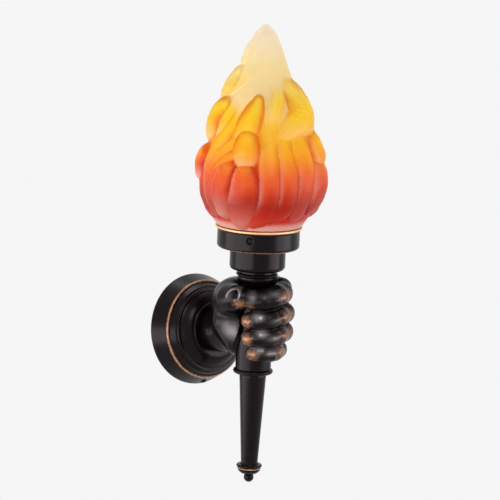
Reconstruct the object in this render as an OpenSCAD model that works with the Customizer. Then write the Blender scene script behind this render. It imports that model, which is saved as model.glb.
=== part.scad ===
// Torch wall sconce: a cast fist on a stepped wall canopy grips a leaning torch,
// whose turned cup carries a frosted flame-shaped glass over an E27 lampholder.
// Frame: origin on the wall at the canopy's centre, -Y out of the wall, +Z up.
// Torch pieces are drawn along the torch's own axis, whose height u is measured
// from the point where that axis crosses the wrist's axis.

/* [Placement] */
// Distance from the wall to the torch axis at wrist height
reach = 102; // [92:1:124]
// Lean of the torch away from the wall, in degrees
lean = 9.5; // [4:0.5:12]

/* [Wall canopy] */
// Diameter of the canopy where it meets the wall
canopy_d = 116.6; // [108:0.2:142]
// Depth from the wall to the copper edge of the rim
rim_depth = 20.5; // [18:0.5:24]
// Depth from the wall to the canopy's flat top
canopy_depth = 38.6; // [36:0.2:46]
// Thickness of the canopy's wall
canopy_wall = 2; // [1.6:0.1:2.6]

/* [Fist] */
// Radius of the wrist where it meets the canopy
wrist_r = 23.5; // [21:0.5:25]
// Diameter of the passage for the nipple through the wrist
wrist_bore_d = 10.8; // [10.5:0.1:12]

/* [Torch] */
// Outer diameter of the grip tube
grip_d = 37; // [33:0.5:40]
// Wall thickness of the grip tube
grip_wall = 3; // [2:0.25:4]
// Height of the grip tube's top above the wrist's axis
grip_top = 46; // [44:1:56]
// Distance of the grip tube's lower end below the wrist's axis
grip_drop = 40; // [38:1:50]
// Outer diameter of the half-round bead ring
bead_d = 41.5; // [40:0.5:48]
// Height of the bead ring
bead_h = 5; // [4:0.5:7]
// Diameter of the shaft's upper end
shaft_top_d = 28; // [25:0.5:33]
// Diameter of the shaft's lower end
shaft_tip_d = 17.4; // [15:0.2:20]
// Length of the tapered shaft
shaft_len = 98; // [80:1:120]
// Wall thickness of the shaft
shaft_wall = 2.2; // [1.8:0.1:3]
// Diameter of the finial's disc
finial_d = 26.8; // [22:0.2:32]
// Diameter of the finial's ball
ball_d = 10.4; // [9:0.2:13]
// Depth of the ball's centre below the dome
ball_drop = 3.5; // [2.6:0.1:6]

/* [Cup] */
// Diameter of the neck collar's ring
collar_d = 43.4; // [40:0.2:50]
// Height of the neck collar
collar_h = 18.7; // [16:0.1:24]
// Diameter of the socket housing
housing_d = 57.8; // [52:0.2:66]
// Height of the socket housing
housing_h = 22.8; // [18:0.2:30]
// Diameter of the gallery cup's wall
cup_d = 85.4; // [84:0.2:104]
// Height of the gallery cup
cup_h = 24; // [22:0.5:30]
// Projection of the rolled lip past the cup's wall
lip_out = 2.3; // [1:0.1:4]
// Wall thickness of the cup and the housing
cup_wall = 2.2; // [1.8:0.1:3]
// Bearing of the first shade screw about the torch axis, in degrees
screw_bearing = 219; // [200:1:240]
// Diameter of the three shade screws
shade_screw_d = 4; // [3:0.5:5]

/* [Flame glass] */
// Height of the flame above the cup's lip
flame_h = 208; // [180:1:250]
// Diameter of the glass under its tongues, at its widest
flame_body_d = 124; // [110:1:148]
// Depth of the deepest tongue of flame
tongue_swell = 11; // [8:0.5:13]
// Least thickness of the glass
glass_wall = 3; // [2.5:0.25:4]
// Gap between the glass and the cup's lip and wall
glass_gap = 1.2; // [0.8:0.1:2]

/* [Lampholder and lamp] */
// Outside diameter of the porcelain lampholder
holder_d = 40; // [38:0.5:44]
// Length of the porcelain lampholder
holder_h = 34; // [32:0.5:38]
// Diameter of the lamp's globe
globe_d = 45; // [40:1:60]
// Outer diameter of the threaded lamp nipples
nipple_d = 10; // [9.5:0.1:10]
// Bore of the threaded lamp nipples
nipple_bore_d = 7; // [6.6:0.1:7.2]
// Diameter of an insulated lead
lead_d = 1.8; // [1.4:0.1:2]

/* [Wall bracket] */
// Distance between the two wall-screw slots
slot_spacing = 60; // [50:1:66]
// Width of each wall-screw slot
slot_w = 5; // [4:0.5:6]
// End-to-end length of each wall-screw slot
slot_len = 12; // [8:1:14]
// Width of the bracket strap
strap_w = 18; // [16:0.5:20]
// Thickness of the bracket strap
strap_t = 2; // [1.5:0.25:2.5]

/* [Hidden] */

bronze = "#1d1a1c";
steel = "#a9adb2";
brass = "#c9a24e";
porcelain = "#efece2";
eps = 0.01;

// Clearance of a bolt or nipple in the hole that it passes through, on radius
bolt_gap = 0.2;
// Clearance of a screw in the thread that it is driven along, on radius
thread_gap = 0.05;
// Gap left between curved or faceted faces that seat on each other
seat_gap = 0.3;

// Depths along the arm, measured from the wall
canopy_inside = canopy_depth - canopy_wall;
arm_washer_t = 1.2;
arm_nut_t = 5;
nut_af = 14;
nipple_tail = 3.2;
arm_nipple_start = canopy_inside - arm_washer_t - arm_nut_t - nipple_tail;
grip_r = grip_d / 2;
grip_inner_r = grip_r - grip_wall;
// The arm nipple screws through the grip tube's wall and stops inside it
arm_nipple_end = reach - grip_inner_r + 1.5;

// Heights along the torch axis
bead_top = -grip_drop;
shaft_top = bead_top - bead_h;
shaft_bottom = shaft_top - shaft_len;
disc_h = 5.2;
dome_h = 7.4;
finial_bottom = shaft_bottom - disc_h - dome_h;
collar_bottom = grip_top;
housing_bottom = collar_bottom + collar_h;
cup_bottom = housing_bottom + housing_h;
cup_floor_t = 2.6;
cup_floor = cup_bottom + cup_floor_t;
lip_top = cup_bottom + cup_h;
cup_nut_t = 4.4;
holder_strap_t = 1.5;
strap_level = cup_floor + cup_nut_t;
foot_h = 9.5;
foot_base = strap_level + holder_strap_t;
holder_base = foot_base + foot_h;
flame_foot = lip_top + 0.6;
screw_u = cup_bottom + 0.56 * cup_h;

// ---------------------------------------------------------------- helpers

function unit(v) = v / norm(v);
function smooth(x) = let (c = max(0, min(1, x))) c * c * (3 - 2 * c);
function arc(c, r, a0, a1, n) =
    [for (i = [0:n]) c + r * [cos(a0 + (a1 - a0) * i / n), sin(a0 + (a1 - a0) * i / n)]];

// Puts a piece drawn along the torch axis, or a point beside it, in the frame
module on_torch() translate([0, -reach, 0]) rotate([lean, 0, 0]) children();
function torch_point(p) = [p.x, -reach + p.y * cos(lean) - p.z * sin(lean),
    p.y * sin(lean) + p.z * cos(lean)];

// Puts a piece drawn along +Z on the arm's axis, starting at a depth from the wall
module from_wall(depth) translate([0, -depth, 0]) rotate([90, 0, 0]) children();

module tube(r, bore_r, h) difference() {
    cylinder(r = r, h = h, $fn = 64);
    translate([0, 0, -1]) cylinder(r = bore_r, h = h + 2, $fn = 64);
}

module hex_nut(af, bore_r, h) difference() {
    cylinder(r = af / 2 / cos(30), h = h, $fn = 6);
    translate([0, 0, -1]) cylinder(r = bore_r, h = h + 2, $fn = 48);
}

// A pan-head screw with its head's seat at z = 0 and its shank along -Z
module pan_screw(d, len, head_d, head_h) difference() {
    union() {
        translate([0, 0, -len]) cylinder(d = d, h = len + eps, $fn = 32);
        rotate_extrude($fn = 48) intersection() {
            square([head_d / 2, head_h]);
            translate([0, -head_d * 0.35]) circle(r = head_d * 0.35 + head_h, $fn = 96);
        }
    }
    translate([-head_d, -0.4, head_h * 0.5]) cube([2 * head_d, 0.8, head_h]);
}

// Rounds each corner of a route with a curve that starts trim before it
function eased(p, trim, n) = concat([p[0]], [for (i = [1:len(p) - 2])
    let (a = unit(p[i - 1] - p[i]), b = unit(p[i + 1] - p[i]),
        ta = min(trim, norm(p[i - 1] - p[i]) * 0.48),
        tb = min(trim, norm(p[i + 1] - p[i]) * 0.48))
    for (k = [0:n]) let (t = k / n)
        p[i] + a * ta * (1 - t) * (1 - t) + b * tb * t * t], [p[len(p) - 1]]);

// Sweeps a round of eight sides along a route that never runs along X
module lead(route, d) {
    n = len(route);
    sides = 8;
    dirs = [for (i = [0:n - 1]) unit(route[min(i + 1, n - 1)] - route[max(i - 1, 0)])];
    rings = [for (i = [0:n - 1]) let (e = unit(cross(dirs[i], [1, 0, 0])),
        f = cross(dirs[i], e))
        for (k = [0:sides - 1]) route[i]
            + d / 2 * (cos(360 * k / sides) * e + sin(360 * k / sides) * f)];
    walls = [for (i = [0:n - 2], k = [0:sides - 1])
        let (a = i * sides + k, b = i * sides + (k + 1) % sides)
        each [[a, a + sides, b + sides], [a, b + sides, b]]];
    ends = [[for (k = [0:sides - 1]) k],
        [for (k = [sides - 1:-1:0]) (n - 1) * sides + k]];
    polyhedron(points = rings, faces = concat(walls, ends));
}

// ------------------------------------------------------------- wall canopy

ring_r = canopy_d / 2 - 14.7;
ring_depth = canopy_depth - 9.8;
crown_r = wrist_r + 5.5;
rim_r = canopy_d / 2 - 6.2;

// Stepped outline of the canopy, as radius and depth from the wall
canopy_outline = concat(
    [[0, 0], [canopy_d / 2, 0], [canopy_d / 2, 1.5]],
    arc([rim_r - 1.6, rim_depth - 1.6], 1.6, 15, 80, 4),
    [[rim_r - 3.2, rim_depth + 0.3], [ring_r + 2.6, ring_depth - 2.6]],
    arc([ring_r - 0.6, ring_depth - 0.9], 1.4, -10, 85, 4),
    [[ring_r - 2, ring_depth + 0.4]],
    [for (t = [0.15:0.17:0.85]) [ring_r - 2.4 - (ring_r - crown_r - 2.4) * t,
        ring_depth + 0.4 + (canopy_depth - 2.1 - ring_depth) * sin(90 * t)]],
    arc([crown_r - 0.6, canopy_depth - 1], 1, -10, 90, 4),
    [[0, canopy_depth]]);

tab_depth = 14;
tab_face = canopy_d / 2 - 10;
lug_w = 12;
canopy_screw_depth = 8;
spot_r = canopy_d / 2 - 3.1;

module canopy() color(bronze) difference() {
    union() {
        rotate([90, 0, 0]) rotate_extrude($fn = 180) difference() {
            polygon(canopy_outline);
            intersection() {
                translate([-canopy_wall, -canopy_wall]) polygon(canopy_outline);
                translate([0, -1]) square([canopy_d, canopy_depth]);
            }
            translate([0, -1]) square([canopy_d / 2 - canopy_wall, 1.01]);
        }
        // Lug inside the top of the rim, which hangs on the bracket's hooked tab
        intersection() {
            translate([-lug_w / 2, -9.5, tab_face + seat_gap])
                cube([lug_w, 6.5, canopy_d / 2 - tab_face - seat_gap - canopy_wall / 2]);
            rotate([90, 0, 0]) rotate_extrude($fn = 180) polygon(canopy_outline);
        }
    }
    from_wall(canopy_inside - 1) cylinder(r = nipple_d / 2 + bolt_gap, h = 8, $fn = 48);
    // Hole and spot face for the screw under the rim
    translate([0, -canopy_screw_depth, -canopy_d / 2 - 1])
        cylinder(d = 4 + 2 * bolt_gap, h = 12, $fn = 32);
    translate([0, -canopy_screw_depth, -canopy_d / 2 - 1])
        cylinder(d = 9, h = 1 + canopy_d / 2 - spot_r, $fn = 48);
}

module canopy_screw() color(bronze)
    translate([0, -canopy_screw_depth, -spot_r]) rotate([180, 0, 0])
        pan_screw(4, 11, 7.4, 2.4);

// ------------------------------------------------------------ wall bracket

block_z = 14;
block_len = 20;
block_h = 11;
block_w = 19;
pole_pitch = 6;
pole_level = strap_t + 5;
earth_z = -19;

module wall_bracket() color(steel) difference() {
    union() {
        translate([-strap_w / 2, -strap_t, -tab_face]) cube([strap_w, strap_t, 2 * tab_face]);
        for (side = [-1, 1]) translate([-strap_w / 2, -tab_depth,
            side > 0 ? tab_face - strap_t : -tab_face])
            cube([strap_w, tab_depth, strap_t]);
        // Upturned edge of the top tab, in front of the canopy's lug
        translate([-strap_w / 2 + 1, -tab_depth, tab_face - eps])
            cube([strap_w - 2, strap_t, 1.6]);
    }
    for (side = [-1, 1]) for (end = [-1, 1])
        translate([0, 1, side * slot_spacing / 2 + end * (slot_len - slot_w) / 2])
            rotate([90, 0, 0]) cylinder(d = slot_w, h = strap_t + 2, $fn = 48);
    for (side = [-1, 1]) translate([-slot_w / 2, -strap_t - 1,
        side * slot_spacing / 2 - (slot_len - slot_w) / 2])
        cube([slot_w, strap_t + 2, slot_len - slot_w]);
    translate([0, -canopy_screw_depth, -tab_face - 1])
        cylinder(d = 4 + 2 * thread_gap, h = strap_t + 2, $fn = 32);
    translate([0, 1, earth_z]) rotate([90, 0, 0])
        cylinder(d = 4 + 2 * thread_gap, h = strap_t + 2, $fn = 32);
    translate([pole_pitch / 2, 1, block_z + 4.4]) rotate([90, 0, 0])
        cylinder(d = 2.5 + 2 * thread_gap, h = strap_t + 2, $fn = 32);
}

module terminal_block() color("#e8e6df") difference() {
    union() {
        translate([-block_w / 2, -strap_t - block_h + 4, block_z]) cube([block_w, block_h - 4, block_len]);
        for (i = [-1:1]) translate([i * pole_pitch - 2.2, -strap_t - block_h, block_z + 2])
            cube([4.4, 5, block_len - 4]);
    }
    for (i = [-1:1]) {
        translate([i * pole_pitch, -pole_level, block_z - 1])
            cylinder(d = 3.2, h = block_len + 2, $fn = 32);
        for (z = [5, block_len - 5]) translate([i * pole_pitch, -pole_level, block_z + z])
            rotate([90, 0, 0]) cylinder(d = 3.1, h = block_h, $fn = 32);
    }
    // Hole and counterbore for the screw that holds the block on the strap
    translate([pole_pitch / 2, 1, block_z + 4.4]) rotate([90, 0, 0])
        cylinder(d = 2.9, h = block_h + 4, $fn = 32);
    translate([pole_pitch / 2, -strap_t - block_h + 4, block_z + 4.4]) rotate([90, 0, 0])
        cylinder(d = 3.9, h = block_h, $fn = 32);
}

module terminal_screws() color(brass)
    for (i = [-1:1]) for (z = [5, block_len - 5])
        translate([i * pole_pitch, -pole_level - 2.2, block_z + z]) rotate([90, 0, 0])
            difference() {
                cylinder(d = 2.9, h = 3, $fn = 32);
                translate([-2, -0.3, 2.2]) cube([4, 0.6, 1]);
            }

module block_screw() color(steel)
    translate([pole_pitch / 2, -strap_t - block_h + 4, block_z + 4.4]) rotate([90, 0, 0])
        pan_screw(2.5, block_h - 4 + strap_t, 3.4, 1.2);

tag_t = 0.8;

module earth_tag() color(brass) translate([0, -strap_t, earth_z]) rotate([90, 0, 0])
    difference() {
        union() {
            cylinder(d = 8.4, h = tag_t, $fn = 48);
            translate([-1.6, 2, 0]) cube([3.2, 7, tag_t]);
            translate([0, 6, tag_t + 1.1]) rotate([-90, 0, 0]) cylinder(d = 3.4, h = 4, $fn = 32);
        }
        translate([0, 0, -1]) cylinder(d = 4.3, h = 4, $fn = 32);
        translate([0, 5, tag_t + 1.1]) rotate([-90, 0, 0]) cylinder(d = 2.2, h = 6, $fn = 32);
    }

module earth_screw() color("#3f7a43") translate([0, -strap_t - tag_t, earth_z])
    rotate([90, 0, 0]) pan_screw(4, strap_t + tag_t, 7, 2);

// --------------------------------------------------------------- arm fixings

module arm_nipple() color(steel) from_wall(arm_nipple_start)
    tube(nipple_d / 2, nipple_bore_d / 2, arm_nipple_end - arm_nipple_start);

module arm_washer() color(steel) from_wall(canopy_inside - arm_washer_t)
    tube(9.5, nipple_d / 2 + bolt_gap, arm_washer_t);

module arm_nut() color(steel) from_wall(canopy_inside - arm_washer_t - arm_nut_t)
    hex_nut(nut_af, nipple_d / 2 + thread_gap, arm_nut_t);

// --------------------------------------------------------------------- fist

fist_bore_r = grip_r + seat_gap;
hand_fn = 16;

// A point of the hand in the torch's frame: bearing, distance from the axis, height
function hand_point(a, r, u) = [r * cos(a), r * sin(a), u];

// One joint of a finger or a mass of the palm, as [bearing, distance, height, radius]
module flesh(a, b) hull() {
    for (j = [a, b]) translate(hand_point(j[0], j[1], j[2])) sphere(r = j[3], $fn = hand_fn);
}

// Each finger from its tip round the tube to its knuckle on the back of the hand
fingers = [
    [[223, 27.6, 36.2, 8.4], [246, 28.6, 38.8, 11], [284, 27.2, 41, 11.3], [311, 26.5, 41, 11.2], [4, 27, 40, 12.5]],
    [[216, 28.6, 16, 8.3], [238, 30.2, 18.6, 10.3], [284, 30.2, 20, 10.6], [310, 30, 20, 10.6], [6, 30, 18.5, 12.5]],
    [[218, 28, -2.2, 8.2], [240, 29.6, 0.6, 10], [284, 29.6, 1, 10.3], [310, 29.5, 0.5, 10.3], [6, 29, -1, 11.5]],
    [[229, 26.2, -17.5, 7.6], [250, 27.2, -15.6, 9], [288, 24.8, -15.8, 9], [314, 24, -16.2, 9], [6, 24.5, -17, 10]]];
thumb = [[104, 27, 22, 18], [138, 27.5, 33, 15], [168, 28.4, 37, 11.2], [197, 28.4, 38, 9.6]];
// Masses of the palm and of the back of the hand, each a pair of joints
palm = [
    [[128, 24, 34, 17.5], [132, 23, 8, 18]],
    [[132, 23, 8, 18], [122, 17, -12, 16]],
    [[70, 24, 32, 17], [62, 22, -8, 16]],
    [[70, 24, 32, 17], [4, 27, 40, 12.5]],
    [[66, 24, 18, 18], [6, 30, 18.5, 12.5]],
    [[64, 23, 2, 18], [6, 29, -1, 11.5]],
    [[62, 22, -8, 16], [6, 24.5, -17, 10]],
    [[104, 27, 22, 18], [128, 24, 34, 17.5]],
    [[100, 28, 40, 11], [40, 29, 42, 11.5]]];
// Web of the thumb, which closes the top of the fist round the neck collar
web = [[205, 26, 43, 9], [250, 26, 45.5, 9], [290, 25.5, 47, 9.5], [330, 26, 47, 10], [20, 27, 45, 12]];

module fist() color(bronze) difference() {
    union() {
        on_torch() {
            for (f = fingers) for (i = [0:len(f) - 2]) flesh(f[i], f[i + 1]);
            for (c = [thumb, web]) for (i = [0:len(c) - 2]) flesh(c[i], c[i + 1]);
            for (m = palm) flesh(m[0], m[1]);
        }
        // Wrist, from its round foot on the canopy into the heel of the hand
        hull() {
            from_wall(canopy_depth) cylinder(r = wrist_r, h = 3, $fn = 40);
            from_wall(canopy_depth + 11) scale([0.9, 1, 1]) cylinder(r = wrist_r - 1.5, h = 3, $fn = 40);
        }
        hull() {
            from_wall(canopy_depth + 11) scale([0.9, 1, 1]) cylinder(r = wrist_r - 1.5, h = 3, $fn = 40);
            on_torch() {
                translate(hand_point(104, 27, 20)) sphere(r = 17, $fn = hand_fn);
                translate(hand_point(116, 24, -8)) sphere(r = 15, $fn = hand_fn);
                translate(hand_point(66, 24, 20)) sphere(r = 17, $fn = hand_fn);
                translate(hand_point(64, 22, -8)) sphere(r = 15, $fn = hand_fn);
            }
        }
    }
    on_torch() translate([0, 0, -80]) cylinder(r = fist_bore_r, h = 170, $fn = 60);
    // Flats under the neck collar and behind the wrist
    on_torch() translate([0, 0, collar_bottom + 0.5]) cylinder(r1 = grip_r, r2 = grip_r + 5, h = 14, $fn = 60);
    translate([-60, -canopy_depth, -60]) cube([120, 30, 120]);
    from_wall(canopy_depth - 5) cylinder(d = wrist_bore_d, h = reach - canopy_depth, $fn = 36);
}

// -------------------------------------------------------------------- torch

module grip_tube() color(bronze) difference() {
    on_torch() difference() {
        translate([0, 0, -grip_drop]) cylinder(r = grip_r, h = grip_drop + grip_top, $fn = 120);
        translate([0, 0, -grip_drop - 1])
            cylinder(r = grip_inner_r, h = grip_drop + grip_top - 7, $fn = 96);
        // Tapped hole for the socket nipple in the tube's closed top
        translate([0, 0, grip_top - 12])
            cylinder(r = nipple_d / 2 + thread_gap, h = 20, $fn = 48);
    }
    // Tapped side hole for the arm nipple
    from_wall(arm_nipple_end - 12) cylinder(r = nipple_d / 2 + thread_gap, h = 16, $fn = 48);
}

rod_d = 6;
plug_h = 8;

module grip_plug() color(steel) on_torch() translate([0, 0, -grip_drop])
    tube(grip_inner_r - 0.05, rod_d / 2 + thread_gap, plug_h);

module bead_ring() color(bronze) on_torch() translate([0, 0, shaft_top])
    rotate_extrude($fn = 120) difference() {
        union() {
            translate([bead_d / 2 - bead_h / 2, bead_h / 2]) circle(d = bead_h, $fn = 48);
            square([bead_d / 2 - bead_h / 2, bead_h]);
        }
        square([rod_d + 2 * bolt_gap, 3 * bead_h], center = true);
    }

module torch_shaft() color(bronze) on_torch() difference() {
    translate([0, 0, shaft_bottom]) rotate_extrude($fn = 120) polygon([[0, 0],
        [shaft_tip_d / 2, 0], [shaft_top_d / 2, shaft_len - 1.5],
        [shaft_top_d / 2 - 0.6, shaft_len], [0, shaft_len]]);
    translate([0, 0, shaft_bottom + 4]) cylinder(r1 = shaft_tip_d / 2 - shaft_wall,
        r2 = shaft_top_d / 2 - shaft_wall, h = shaft_len - 8, $fn = 96);
    translate([0, 0, shaft_bottom - 1]) cylinder(r = rod_d / 2 + bolt_gap, h = shaft_len + 2, $fn = 48);
}

// Disc with a fine groove, and the dome that closes it below
module finial_cap() color(bronze) on_torch() translate([0, 0, shaft_bottom]) difference() {
    rotate_extrude($fn = 120) polygon(concat(
        [[0, 0], [shaft_tip_d / 2 + 0.6, 0], [shaft_tip_d / 2 + 1.2, -0.9]],
        arc([finial_d / 2 - 1.6, -2.6], 1.6, 75, -60, 6),
        [[finial_d / 2 - 1.5, -4.4], [finial_d / 2 - 1, -disc_h]],
        [for (a = [8:11:74]) [(finial_d / 2 - 1.2) * cos(a), -disc_h - dome_h * sin(a)]],
        [[4.2, -disc_h - dome_h], [0, -disc_h - dome_h]]));
    translate([0, 0, -30]) cylinder(r = rod_d / 2 + bolt_gap, h = 40, $fn = 48);
}

module finial_ball() color(bronze) on_torch() translate([0, 0, finial_bottom]) difference() {
    rotate_extrude($fn = 96) intersection() {
        translate([0, -20]) square([20, 20]);
        union() {
            translate([0, -ball_drop]) circle(d = ball_d, $fn = 72);
            translate([0, -ball_drop]) square([ball_d * 0.35, ball_drop]);
        }
    }
    translate([0, 0, -ball_drop - ball_d * 0.26]) cylinder(r = rod_d / 2 - 1 + thread_gap, h = 20, $fn = 48);
}

// Rod that draws the finial, the shaft and the bead up against the grip tube
module shaft_rod() color(steel) on_torch() {
    translate([0, 0, finial_bottom + 0.5]) cylinder(d = rod_d, h = -grip_drop + plug_h + 3 - finial_bottom, $fn = 48);
    translate([0, 0, finial_bottom - ball_drop - ball_d * 0.2])
        cylinder(d = rod_d - 2, h = ball_drop + ball_d * 0.2 + 1, $fn = 48);
}

// ---------------------------------------------------------------------- cup

module neck_collar() color(bronze) on_torch() translate([0, 0, collar_bottom]) difference() {
    rotate_extrude($fn = 120) polygon(concat(
        [[0, 0], [collar_d * 0.26, 0]],
        [for (a = [-72:12:0]) [collar_d * 0.12 + collar_d * 0.33 * cos(a),
            10.6 + 9.4 * sin(a)]],
        [[collar_d * 0.45, 11.6], [collar_d * 0.42, 12.4]],
        arc([collar_d / 2 - 1.3, 14], 1.3, -80, 80, 6),
        [[collar_d * 0.44, 15.8], [collar_d * 0.44, collar_h], [0, collar_h]]));
    translate([0, 0, -1]) cylinder(r = nipple_d / 2 + bolt_gap, h = collar_h + 2, $fn = 48);
}

housing_r = housing_d / 2;

module socket_housing() color(bronze) on_torch() translate([0, 0, housing_bottom]) difference() {
    rotate_extrude($fn = 150) polygon(concat([[0, 0]],
        arc([housing_r - 4.5, 4.5], 4.5, -90, 0, 8),
        [[housing_r, housing_h], [0, housing_h]]));
    rotate_extrude($fn = 120) polygon(concat([[0, cup_wall]],
        arc([housing_r - 4.5, 4.5 + cup_wall / 2], 4.5 - cup_wall, -90, 0, 6),
        [[housing_r - cup_wall, housing_h + 1], [0, housing_h + 1]]));
    translate([0, 0, -1]) cylinder(r = nipple_d / 2 + bolt_gap, h = 8, $fn = 48);
}

cup_r = cup_d / 2;
cup_inner_r = cup_r - cup_wall;
lip_r = cup_r + lip_out;

// Cup with a rounded heel, a rolled lip and three countersunk tapped holes
module gallery_cup() color(bronze) on_torch() difference() {
    translate([0, 0, cup_bottom]) rotate_extrude($fn = 180) difference() {
        polygon(concat([[0, 0], [cup_r - 5, 0], [cup_r - 3.4, 0.5]],
            arc([cup_r - 3.2, 3.6], 3.2, -70, 0, 5),
            [[cup_r, cup_h - 4.4], [cup_r + 0.5, cup_h - 3.4]],
            arc([lip_r - 1.5, cup_h - 1.5], 1.5, -60, 90, 6),
            [[0, cup_h]]));
        translate([0, cup_floor_t]) square([cup_inner_r, cup_h]);
    }
    translate([0, 0, cup_bottom - 1]) cylinder(r = nipple_d / 2 + bolt_gap, h = 8, $fn = 48);
    for (i = [0:2]) translate([0, 0, screw_u]) rotate([0, 0, screw_bearing + 120 * i])
        rotate([0, 90, 0]) {
            translate([0, 0, cup_inner_r - 3])
                cylinder(r = shade_screw_d / 2 + thread_gap, h = 12, $fn = 48);
            translate([0, 0, cup_r - 0.8])
                cylinder(r1 = shade_screw_d / 2 + thread_gap, r2 = shade_screw_d / 2 + 1.7, h = 1.6, $fn = 48);
        }
}

glass_neck_r = cup_inner_r - glass_gap - 2.2;
set_screw_out = cup_r - 0.8;

// Socket-head shade screw, its flat point against the neck of the glass
module shade_screw(i) color(steel) on_torch() translate([0, 0, screw_u])
    rotate([0, 0, screw_bearing + 120 * i]) rotate([0, 90, 0]) difference() {
        translate([0, 0, glass_neck_r + seat_gap])
            cylinder(d = shade_screw_d, h = set_screw_out - glass_neck_r - seat_gap, $fn = 48);
        translate([0, 0, set_screw_out - 1.8]) cylinder(d = shade_screw_d / 2, h = 4, $fn = 6);
    }

module set_screw_1() shade_screw(0);
module set_screw_2() shade_screw(1);
module set_screw_3() shade_screw(2);

module socket_nipple() color(steel) on_torch() translate([0, 0, grip_top - 7])
    tube(nipple_d / 2, nipple_bore_d / 2, foot_base - grip_top + 7);

module cup_nut() color(steel) on_torch() translate([0, 0, cup_floor])
    hex_nut(nut_af, nipple_d / 2 + thread_gap, cup_nut_t);

// -------------------------------------------------------------- lampholder

foot_x = 13.5;
shell_r = 14.2;
shell_t = 0.5;
cap_r = 13.2;
lamp_base = holder_base + 12;

module holder_strap() color(steel) on_torch() translate([0, 0, strap_level]) difference() {
    intersection() {
        translate([-18, -6, 0]) cube([36, 12, holder_strap_t]);
        cylinder(r = 17.6, h = 3, $fn = 64);
    }
    translate([0, 0, -1]) cylinder(r = nipple_d / 2 + thread_gap, h = 4, $fn = 48);
    for (x = [-foot_x, foot_x]) translate([x, 0, -1]) cylinder(d = 3.4, h = 4, $fn = 32);
}

module holder_screws() color(steel) on_torch()
    for (x = [-foot_x, foot_x]) translate([x, 0, strap_level]) rotate([180, 0, 0])
        pan_screw(3, foot_h + holder_strap_t, 5.2, 1.8);

module lampholder() color(porcelain) on_torch() difference() {
    union() {
        translate([0, 0, holder_base]) rotate_extrude($fn = 120) polygon(concat(
            [[0, 0], [holder_d / 2 - 2, 0], [holder_d / 2, 2], [holder_d / 2, 13],
            [holder_d / 2 - 1.4, 14.4]],
            arc([holder_d / 2 - 3.4, holder_h - 2], 2, 0, 90, 4), [[0, holder_h]]));
        for (x = [-foot_x, foot_x]) translate([x, 0, foot_base])
            cylinder(d = 7, h = foot_h + 1, $fn = 48);
    }
    translate([0, 0, holder_base + 9]) cylinder(r = shell_r + shell_t + 0.3, h = holder_h, $fn = 96);
    for (x = [-foot_x, foot_x]) translate([x, 0, foot_base - 1])
        cylinder(d = 3.1, h = foot_h + 3, $fn = 32);
    for (x = [-lead_out, lead_out]) translate([x, 0, holder_base - 1])
        cylinder(d = lead_d + 0.8, h = 12, $fn = 32);
}

// Rolled screw shell, as a ribbed sleeve with its floor in the porcelain
module screw_shell() color(brass) on_torch() translate([0, 0, holder_base + 9]) difference() {
    union() {
        cylinder(r = shell_r + shell_t, h = 20, $fn = 96);
        for (z = [5.5:4:18]) translate([0, 0, z]) cylinder(r = shell_r + shell_t + 0.2, h = 1.6, $fn = 96);
    }
    translate([0, 0, 0.8]) cylinder(r = shell_r, h = 30, $fn = 96);
    translate([0, 0, -1]) cylinder(r = 6, h = 4, $fn = 48);
    for (x = [-lead_out, lead_out]) translate([x, 0, -1]) cylinder(d = 3, h = 3, $fn = 32);
}

module centre_contact() color(brass) on_torch() translate([0, 0, holder_base + 9]) {
    cylinder(r = 3.2, h = 1.2, $fn = 48);
    translate([0, 0, 1.1]) cylinder(r1 = 2.6, r2 = 1.8, h = 1.6, $fn = 48);
}

module lamp_cap() color(steel) on_torch() translate([0, 0, lamp_base]) rotate_extrude($fn = 96)
    polygon(concat([[0, 0], [4.5, 0.2], [5, 1.8], [11.4, 3.4]],
        [for (i = [0:15]) [cap_r - 0.5 + (i % 2) * 0.5, 4.2 + i * 1.2]],
        [[cap_r - 0.4, 24.6], [0, 24.6]]));

// Globe of the lamp with its tapered neck, blown hollow
module lamp_globe() color("#f7f3e6") on_torch() translate([0, 0, lamp_base + 24.6]) difference() {
    rotate_extrude($fn = 96) intersection() {
        square([globe_d, globe_d * 3]);
        union() {
            translate([0, 8 + globe_d * 0.46]) circle(d = globe_d, $fn = 120);
            polygon([[0, 0], [cap_r - 0.6, 0], [cap_r - 0.2, 4], [globe_d * 0.4, 8 + globe_d * 0.2],
                [0, 8 + globe_d * 0.46]]);
        }
    }
    translate([0, 0, 8 + globe_d * 0.46]) sphere(d = globe_d - 2.4, $fn = 72);
}

// -------------------------------------------------------------------- leads

lead_side = 1.7;
lead_out = 6;

// Route of a lead from the terminal block, along the arm and up the torch
function lamp_route(side) = eased([
    [side * pole_pitch, -pole_level, block_z + 4],
    [side * pole_pitch, -pole_level, block_z - 8],
    [side * lead_side, -arm_nipple_start + 8, 0],
    [side * lead_side, -arm_nipple_start, 0],
    [side * lead_side, -reach + 3, 0],
    torch_point([side * lead_side, 0, 14]),
    torch_point([side * lead_side, 0, grip_top - 7]),
    torch_point([side * lead_side, 0, foot_base - 1]),
    torch_point([side * lead_out, 0, holder_base - 1]),
    torch_point([side * lead_out, 0, holder_base + 7])], 9, 4);

earth_route = eased([
    [0, -pole_level, block_z + 4],
    [0, -pole_level, block_z - 6],
    [0, -strap_t - tag_t - 1.1, earth_z + 16],
    [0, -strap_t - tag_t - 1.1, earth_z + 7]], 6, 4);

module live_lead() color("#6b4a2f") lead(lamp_route(-1), lead_d);
module neutral_lead() color("#3b5f9a") lead(lamp_route(1), lead_d);
module earth_lead() color("#7fa03a") lead(earth_route, lead_d);

// -------------------------------------------------------------- flame glass

// Bearing that the flame's front faces, about the torch axis
flame_front = 232;

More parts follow.
